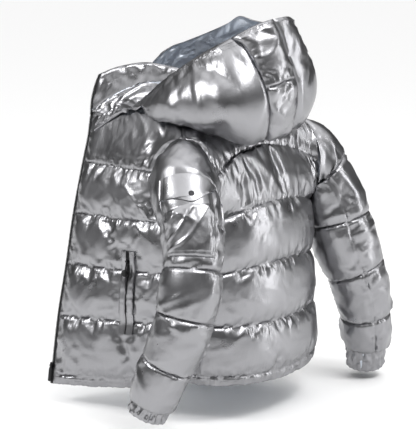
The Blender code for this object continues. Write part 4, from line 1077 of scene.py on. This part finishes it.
def pocket_strips(side, front):
    """A front pocket's two welts and the strip of zip between them."""
    levels = body_rows()
    rows = np.nonzero((levels > POCKET_LEVELS[0] - 1e-6) & (levels < POCKET_LEVELS[1] + 1e-6))[0]
    surface, normal = front.outside(), front.normal
    widths = spans(surface, 1).sum(axis=1)
    found = []
    for name, offsets, wall, puff in (
        ("pocket_welt_back_" + side, (-WELT_GAP / 2 - WELT_WIDTH, -WELT_GAP / 2), WELT_WALL, WELT_PUFF),
        ("pocket_welt_front_" + side, (WELT_GAP / 2, WELT_GAP / 2 + WELT_WIDTH), WELT_WALL, WELT_PUFF),
        ("pocket_zip_" + side, (-COIL_STRIP, COIL_STRIP), COIL_WALL, 0.0),
    ):
        places = np.linspace(0, 1, 4)
        columns = []
        for row in rows:
            inner = WELT_CLOSE * min(1, max(0, (row - rows[0] - SLIDER_ROWS) / 2))
            start, end = (offset - np.sign(offset) * inner * (abs(offset) < WELT_GAP) for offset in offsets)
            columns.append((POCKET_COLUMN + mix(start, end, places) / widths[row]) * FRONT_COLUMNS)
        strip, ways, thick = (at_places(grid[rows], columns) for grid in (surface, normal, front.thick))
        ways = unit(ways)
        piece = Piece(name, strip + ways * GAP, ways)
        piece.normal = ways
        level = wall + WELT_FILL * (SEAM + PUFF_BODY - thick)
        piece.fill(level, puff * np.sin(np.pi * places)[None], np.linspace(*WELT_CROWN, len(rows)))
        found.append(piece)
    return found


def sleeve_pocket_pieces(sleeve):
    """Patch and pointed flap on the left upper sleeve."""
    columns = [c % sleeve.inside.shape[1] for c in PATCH_COLUMNS]
    rows = slice(PATCH_ROWS[0], PATCH_ROWS[1] + 1)
    surface, normal = sleeve.outside()[rows][:, columns], sleeve.normal[rows][:, columns]
    patch = Piece("sleeve_pocket", surface + normal * GAP, normal)
    patch.normal = normal
    steps = np.arange(len(columns))
    sides = eased(steps, 1.0) * eased(steps[-1] - steps, 1.0)
    under_flap = (np.arange(len(surface)) - PATCH_FLAT) / (len(surface) - 1 - PATCH_FLAT)
    patch.fill(PATCH_WALL, PATCH_PUFF * sides[None], np.clip(under_flap, 0, 1))
    top, places = surface + normal * (GAP + PATCH_WALL), flap_places(len(columns))
    surface, outward = (at_places(grid.swapaxes(0, 1), places.T).swapaxes(0, 1) for grid in (top, normal))
    outward = unit(outward)
    lift = FLAP_LIFT * np.array((0, 0, 1))[:, None, None]
    flap = Piece("sleeve_flap", surface + outward * (GAP + lift), outward)
    flap.normal = outward
    flap.fill(FLAP_WALL, FLAP_PUFF * sides[None], np.linspace(0, 1, len(places)))
    return patch, flap


# ---------------------------------------------------------------- assembly


def jacket_pieces():
    """The CAD's soft pieces, by name, worked out as there."""
    back = back_piece()
    fronts = {side: front_piece(side) for side in ("left", "right")}
    mirror_back = Piece("mirror", back.inside[:, ::-1] * (-1, 1, 1), (0, 1, 0))
    mirror_back.thick = back.thick[:, ::-1]
    sleeves = {
        "left": sleeve_piece("left", (back, fronts["left"])),
        "right": sleeve_piece("right", (mirror_back, fronts["right"])).mirrored(),
    }
    fronts["right"].mirrored()
    body = [back, *fronts.values(), *sleeves.values()]
    share_directions(body)
    for piece in (back, *fronts.values()):
        piece.part_edge(column=0)
    back.part_edge(column=-1)
    for piece in sleeves.values():
        piece.part_edge(row=0, by=GAP * 1.5)
    stations, line = neckline(fronts, back)
    collar = collar_piece(stations, line)
    hood = hood_pieces(stations, line, (back, *fronts.values()))
    share_directions(hood)
    for piece, columns in zip(hood, ((-1,), (0, -1), (0,))):
        for column in columns:
            piece.part_edge(column=column)
    cuffs = [cuff_piece("left"), cuff_piece("right").mirrored()]
    tapes = [zip_tape("left", fronts["left"], collar, 0), zip_tape("right", fronts["right"], collar, -1)]
    strips = [piece for side, front in fronts.items() for piece in pocket_strips(side, front)]
    patches = sleeve_pocket_pieces(sleeves["left"])
    return {piece.name: piece for piece in [*body, *hood, collar, *cuffs, *tapes, *strips, *patches]}


def plain_places(shells):
    """Keeps the cloth plain under what is sewn on it."""
    for side in ("left", "right"):
        front = shells["front_" + side]
        widths = front.u[0, -1]
        aside = np.abs(np.linspace(0, 1, front.u.shape[1]) - POCKET_COLUMN) * widths
        level = front.places[:, None]
        beside = (level > POCKET_LEVELS[0] - POCKET_MARGIN) & (level < POCKET_LEVELS[1] + POCKET_MARGIN)
        front.flatten(beside & (aside < POCKET_PLAIN)[None])
    sleeve = shells["sleeve_left"]
    rows, columns = sleeve.height.shape
    row, column = np.arange(rows) / sleeve.times[0], np.arange(columns) / sleeve.times[1]
    count = columns / sleeve.times[1]
    column = np.where(column > count / 2, column - count, column)
    beside = (row > PATCH_ROWS[0] - PATCH_MARGIN) & (row < PATCH_ROWS[1] + PATCH_MARGIN)
    across = (column > PATCH_COLUMNS[-1] - PATCH_MARGIN) & (column < PATCH_COLUMNS[0] + PATCH_MARGIN)
    sleeve.flatten(beside[:, None] & across[None])


def sewn_down(shells):
    """Presses topstitched lines in, and ruffles the cuffs."""
    for name, *_ in HOOD_PANELS:
        height = shells[name].height
        height[-HOOD_HEM_ROW] = np.maximum(height[-HOOD_HEM_ROW] - HOOD_HEM_SINK, HOOD_HEM_LEAST)
        shells[name].seam_rows.append(len(height) - HOOD_HEM_ROW)
    for name in PATCHES:
        for column in SEWN_COLUMNS:
            shells[name].height[:, column] -= PRESSED
        for row in SEWN_ROWS:
            shells[name].height[row] -= PRESSED
    for shell in (shells["cuff_left"], shells["cuff_right"]):
        gathers, crimps = (shell.noise(*field) for field in CUFF_FIELDS)
        ruffle = RIDGE - np.abs(gathers) + 0.6 * crimps
        shell.height = shell.height + CUFF_RUFFLE * ruffle * np.clip(shell.from_seam / 0.006, 0.35, 1)
    for shell in shells.values():
        shell.shape()


def draw(shells, foil, lining, tape, metal):
    """Makes each shell's object, with the teeth of its zip."""
    for name, shell in shells.items():
        aside = shell.outer[:, -1] - shell.outer[:, 0]
        if name.startswith("pocket_zip"):
            add_object(name, shell.outer.reshape(-1, 3), shell.quads(not shell.faces_out()), tape)
            path, normals = column_line(shell, shell.height.shape[1] // 2, COIL_LIFT)
            teeth("coil" + name[10:], path, aside, normals, COIL_PITCH, COIL_HALF, tape)
        elif name.startswith("zip_tape"):
            closed_shell(shell, tape, tape)
            path = (shell.outer[:, -1] + shell.inside[:, -1]) / 2 + unit(aside) * TOOTH_OUT
            teeth("zip_teeth" + name[8:], path, aside, shell.normal[:, -1], TOOTH_PITCH, TOOTH_HALF, metal)
        else:
            closed_shell(shell, foil, lining)


def main():
    pieces = jacket_pieces()
    foil, lining, tape, metal, rubber, thread = materials()
    shells = {
        name: Shell(piece, seed, SMALL_CELL if name.startswith(SMALL) else CELL)
        for seed, (name, piece) in enumerate(pieces.items())
    }
    plain_places(shells)
    sewn_down(shells)
    soft = [shell for name, shell in shells.items() if not name.startswith(SMALL)]
    simulate(soft)
    patch = shells["sleeve_pocket"]
    patch.flat[np.linspace(0, PATCH_ROWS[1] - PATCH_ROWS[0], len(patch.height)) < UNDER_FLAP] = True
    for shell in [*soft, patch, *(shells[name] for name in shells if name.startswith("pocket_welt"))]:
        shell.crease()
    draw(shells, foil, lining, tape, metal)
    sewing(shells, thread)
    for name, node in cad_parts.items():
        if name.endswith("_pull") or name.startswith("pocket_pull"):
            node.data.materials[0] = rubber
        elif "slider" in name or "snap" in name:
            node.data.materials[0] = metal


def sewing(shells, thread):
    lines = {}
    for name in ("back", "front_left", "front_right", "sleeve_left", "sleeve_right", "hood_centre"):
        shell = shells[name]
        inner = [row for row in shell.seam_rows if 0 < row < len(shell.height) - HOOD_HEM_ROW]
        lines[name] = [row_line(shell, row) for row in inner]
    for side in ("left", "right"):
        lines["front_" + side].append(column_line(shells["front_" + side], -2))
        sleeve = shells["sleeve_" + side]
        lines["sleeve_" + side] += [row_line(sleeve, 1), column_line(sleeve, sleeve.long_seam)]
    for name, *_ in HOOD_PANELS:
        rows = (-2, -HOOD_HEM_ROW)
        lines.setdefault(name, []).extend(row_line(shells[name], row, HOOD_STITCH_LIFT) for row in rows)
    lines["hood_centre"] += [column_line(shells["hood_centre"], column) for column in (1, -2)]
    sewn = {name: (SEWN_ROWS, SEWN_COLUMNS) for name in PATCHES}
    sewn |= {name: ((1, -2), (1, -2)) for name in shells if name.startswith("pocket_welt")}
    for name, (rows, columns) in sewn.items():
        lines[name] = [row_line(shells[name], row) for row in rows]
        lines[name] += [column_line(shells[name], column) for column in columns]
    for name, found in lines.items():
        stitches(name, found, thread)


# ---------------------------------------------------------------- finishes

WEAR_SCALE, GRAIN_SCALE = 14.0, 300.0
CREASE_TURNS = (((0.5, 0.7, 0.2), (9, 30, 14)), ((-0.6, 0.4, 1.1), (26, 8, 12)))  # rotation and scale
PUCKER_SCALE, PUCKER_SHARE = (95, 95, 95), 1.8
BUMP_GAIN = 4  # of every relief height below


def materials():
    """Finishes, each with its colour, roughness range, metallic share, crease height and grain height."""
    found = []
    for name, colour, roughness, metallic, creases, grain in (
        ("foil", (0.29, 0.29, 0.302), (0.27, 0.37), 1.0, 0.0006, 0.00006),
        ("lining", (0.55, 0.59, 0.65), (0.28, 0.36), 0.85, 0.0006, 0.00006),
        ("black_tape", (0.012, 0.012, 0.013), (0.55, 0.65), 0.0, 0.0, 0.0001),
        ("black_metal", (0.02, 0.02, 0.022), (0.25, 0.35), 0.7, 0.0, 0.0001),
        ("black_rubber", (0.015, 0.015, 0.016), (0.45, 0.55), 0.0, 0.0, 0.0001),
        ("thread", (0.22, 0.22, 0.23), (0.4, 0.5), 0.5, 0.0, 0.0),
    ):
        material = bpy.data.materials.new(name)
        material.use_nodes = True
        shader = material.node_tree.nodes["Principled BSDF"]
        shader.inputs["Base Color"].default_value = (*colour, 1)
        shader.inputs["Metallic"].default_value = metallic
        if name.startswith("black"):
            shader.inputs["Specular IOR Level"].default_value = 0.25
        surface = Nodes(material.node_tree)
        place = surface.add("TexCoord").outputs["Object"]
        wear = surface.add("TexNoise", Vector=place, Scale=WEAR_SCALE).outputs["Fac"]
        span = {"From Min": 0.3, "From Max": 0.7, "To Min": roughness[0], "To Max": roughness[1]}
        wear = surface.add("MapRange", Value=wear, **span).outputs["Result"]
        surface.link(wear, shader.inputs["Roughness"])
        bend = None
        if creases:
            for turn, scale in CREASE_TURNS:
                turned = surface.add("Mapping", Vector=place, Rotation=turn, Scale=scale).outputs["Vector"]
                bend = surface.bump(surface.ridge(turned, 2.0), creases / 2, bend)
            near = surface.add("Attribute", attribute_name="near_seam").outputs["Fac"]
            foot = surface.add("Attribute", attribute_name="seam_foot").outputs["Vector"]
            foot = surface.add("Mapping", Vector=foot, Scale=PUCKER_SCALE).outputs["Vector"]
            pucker = surface.ridge(foot, 1.0)
            pucker = surface.add("Math", "MULTIPLY", pucker, near).outputs[0]
            bend = surface.bump(pucker, creases * PUCKER_SHARE, bend)
        if grain:
            fine = surface.add("TexNoise", Vector=place, Scale=GRAIN_SCALE, Detail=2.0).outputs["Fac"]
            bend = surface.bump(fine, grain, bend)
            surface.link(bend, shader.inputs["Normal"])
        found.append(material)
    return found


class Nodes:
    """Adds shader nodes with their inputs set or linked."""

    def __init__(self, tree):
        self.nodes, self.links = tree.nodes, tree.links

    def link(self, source, socket):
        self.links.new(source, socket)

    def add(self, kind, operation=None, *inputs, attribute_name=None, **named):
        node = self.nodes.new("ShaderNode" + kind)
        if operation:
            node.operation = operation
        if attribute_name:
            node.attribute_name = attribute_name
        pairs = [*zip(node.inputs, inputs), *((node.inputs[key], value) for key, value in named.items())]
        for socket, value in pairs:
            if isinstance(value, bpy.types.NodeSocket):
                self.link(value, socket)
            else:
                socket.default_value = value
        return node

    def ridge(self, vector, detail):
        """Sharp valleys: how far noise is from its middle."""
        value = self.add("TexNoise", Vector=vector, Scale=1.0, Detail=detail).outputs["Fac"]
        centred = self.add("Math", "SUBTRACT", value, 0.5).outputs[0]
        return self.add("Math", "ABSOLUTE", centred).outputs[0]

    def bump(self, height, distance, before):
        node = self.add("Bump", Height=height, Distance=distance * BUMP_GAIN, Strength=1.0)
        if before is not None:
            self.link(before, node.inputs["Normal"])
        return node.outputs["Normal"]


# ---------------------------------------------------------------- studio

AZIMUTH, ELEVATION, DISTANCE, LENS = 128.0, 9.0, 4.5, 154.8
TARGET = (-0.0707, -0.2354)  # what the camera looks at, to its right and up from the origin
FLOOR_Z, FLOOR_HALF, FLOOR_GREY = -0.72, 30.0, 0.9
LAMP_TARGET = Vector((0, 0, -0.2))
SKY = ((0.0, 0.05), (0.46, 0.15), (0.50, 0.42), (0.66, 0.70), (0.82, 1.7), (1.0, 2.2))  # height and grey


def studio():
    scene = bpy.context.scene
    turn, lift = math.radians(AZIMUTH), math.radians(ELEVATION)
    right = Vector((math.cos(turn), math.sin(turn), 0))
    up = Vector((-math.sin(turn) * math.sin(lift), math.cos(turn) * math.sin(lift), math.cos(lift)))
    back = Vector((math.sin(turn) * math.cos(lift), -math.cos(turn) * math.cos(lift), math.sin(lift)))
    data = bpy.data.cameras.new("camera")
    data.lens, data.sensor_width, data.clip_end = LENS, 36, 200
    camera = bpy.data.objects.new("camera", data)
    camera.location = back * DISTANCE
    target = right * TARGET[0] + up * TARGET[1]
    camera.rotation_euler = (camera.location - target).to_track_quat("Z", "Y").to_euler()
    scene.collection.objects.link(camera)
    scene.camera = camera
    corners = [(x * FLOOR_HALF, y * FLOOR_HALF, FLOOR_Z) for x, y in ((-1, -1), (1, -1), (1, 1), (-1, 1))]
    mesh = bpy.data.meshes.new("floor")
    mesh.from_pydata(corners, [], [(0, 1, 2, 3)])
    floor = bpy.data.objects.new("floor", mesh)
    paint = bpy.data.materials.new("floor")
    paint.use_nodes = True
    sockets = paint.node_tree.nodes["Principled BSDF"].inputs
    sockets["Base Color"].default_value = (FLOOR_GREY, FLOOR_GREY, FLOOR_GREY, 1)
    sockets["Roughness"].default_value = 0.9
    mesh.materials.append(paint)
    scene.collection.objects.link(floor)
    for name, where, width, height, power in (
        ("key", right * 1.2 + up * 2.2 + back * 1.8, 1.4, 0.9, 52),
        ("left", right * -2.2 + up * 1.2 + back * 1.2, 0.9, 0.7, 34),
        ("rim", right * 2.4 + up * 0.3 + back * 0.3, 0.4, 2.0, 18),
    ):
        lamp = bpy.data.lights.new(name, "AREA")
        lamp.shape, lamp.size, lamp.size_y, lamp.energy = "RECTANGLE", width, height, power
        light = bpy.data.objects.new(name, lamp)
        light.location = where
        light.rotation_euler = (where - LAMP_TARGET).to_track_quat("Z", "Y").to_euler()
        scene.collection.objects.link(light)
    scene.view_settings.view_transform = "Standard"
    world = bpy.data.worlds.new("world")
    scene.world = world
    world.use_nodes = True
    nodes, links = world.node_tree.nodes, world.node_tree.links
    place, split, ramp = (nodes.new("ShaderNode" + kind) for kind in ("TexCoord", "SeparateXYZ", "ValToRGB"))
    links.new(place.outputs["Generated"], split.inputs["Vector"])
    links.new(split.outputs["Z"], ramp.inputs["Fac"])
    links.new(ramp.outputs["Color"], nodes["Background"].inputs["Color"])
    for place, _ in SKY[1:-1]:
        ramp.color_ramp.elements.new(place)
    for element, (place, value) in zip(ramp.color_ramp.elements, SKY):
        element.position, element.color = place, (value, value, value, 1)


main()
studio()
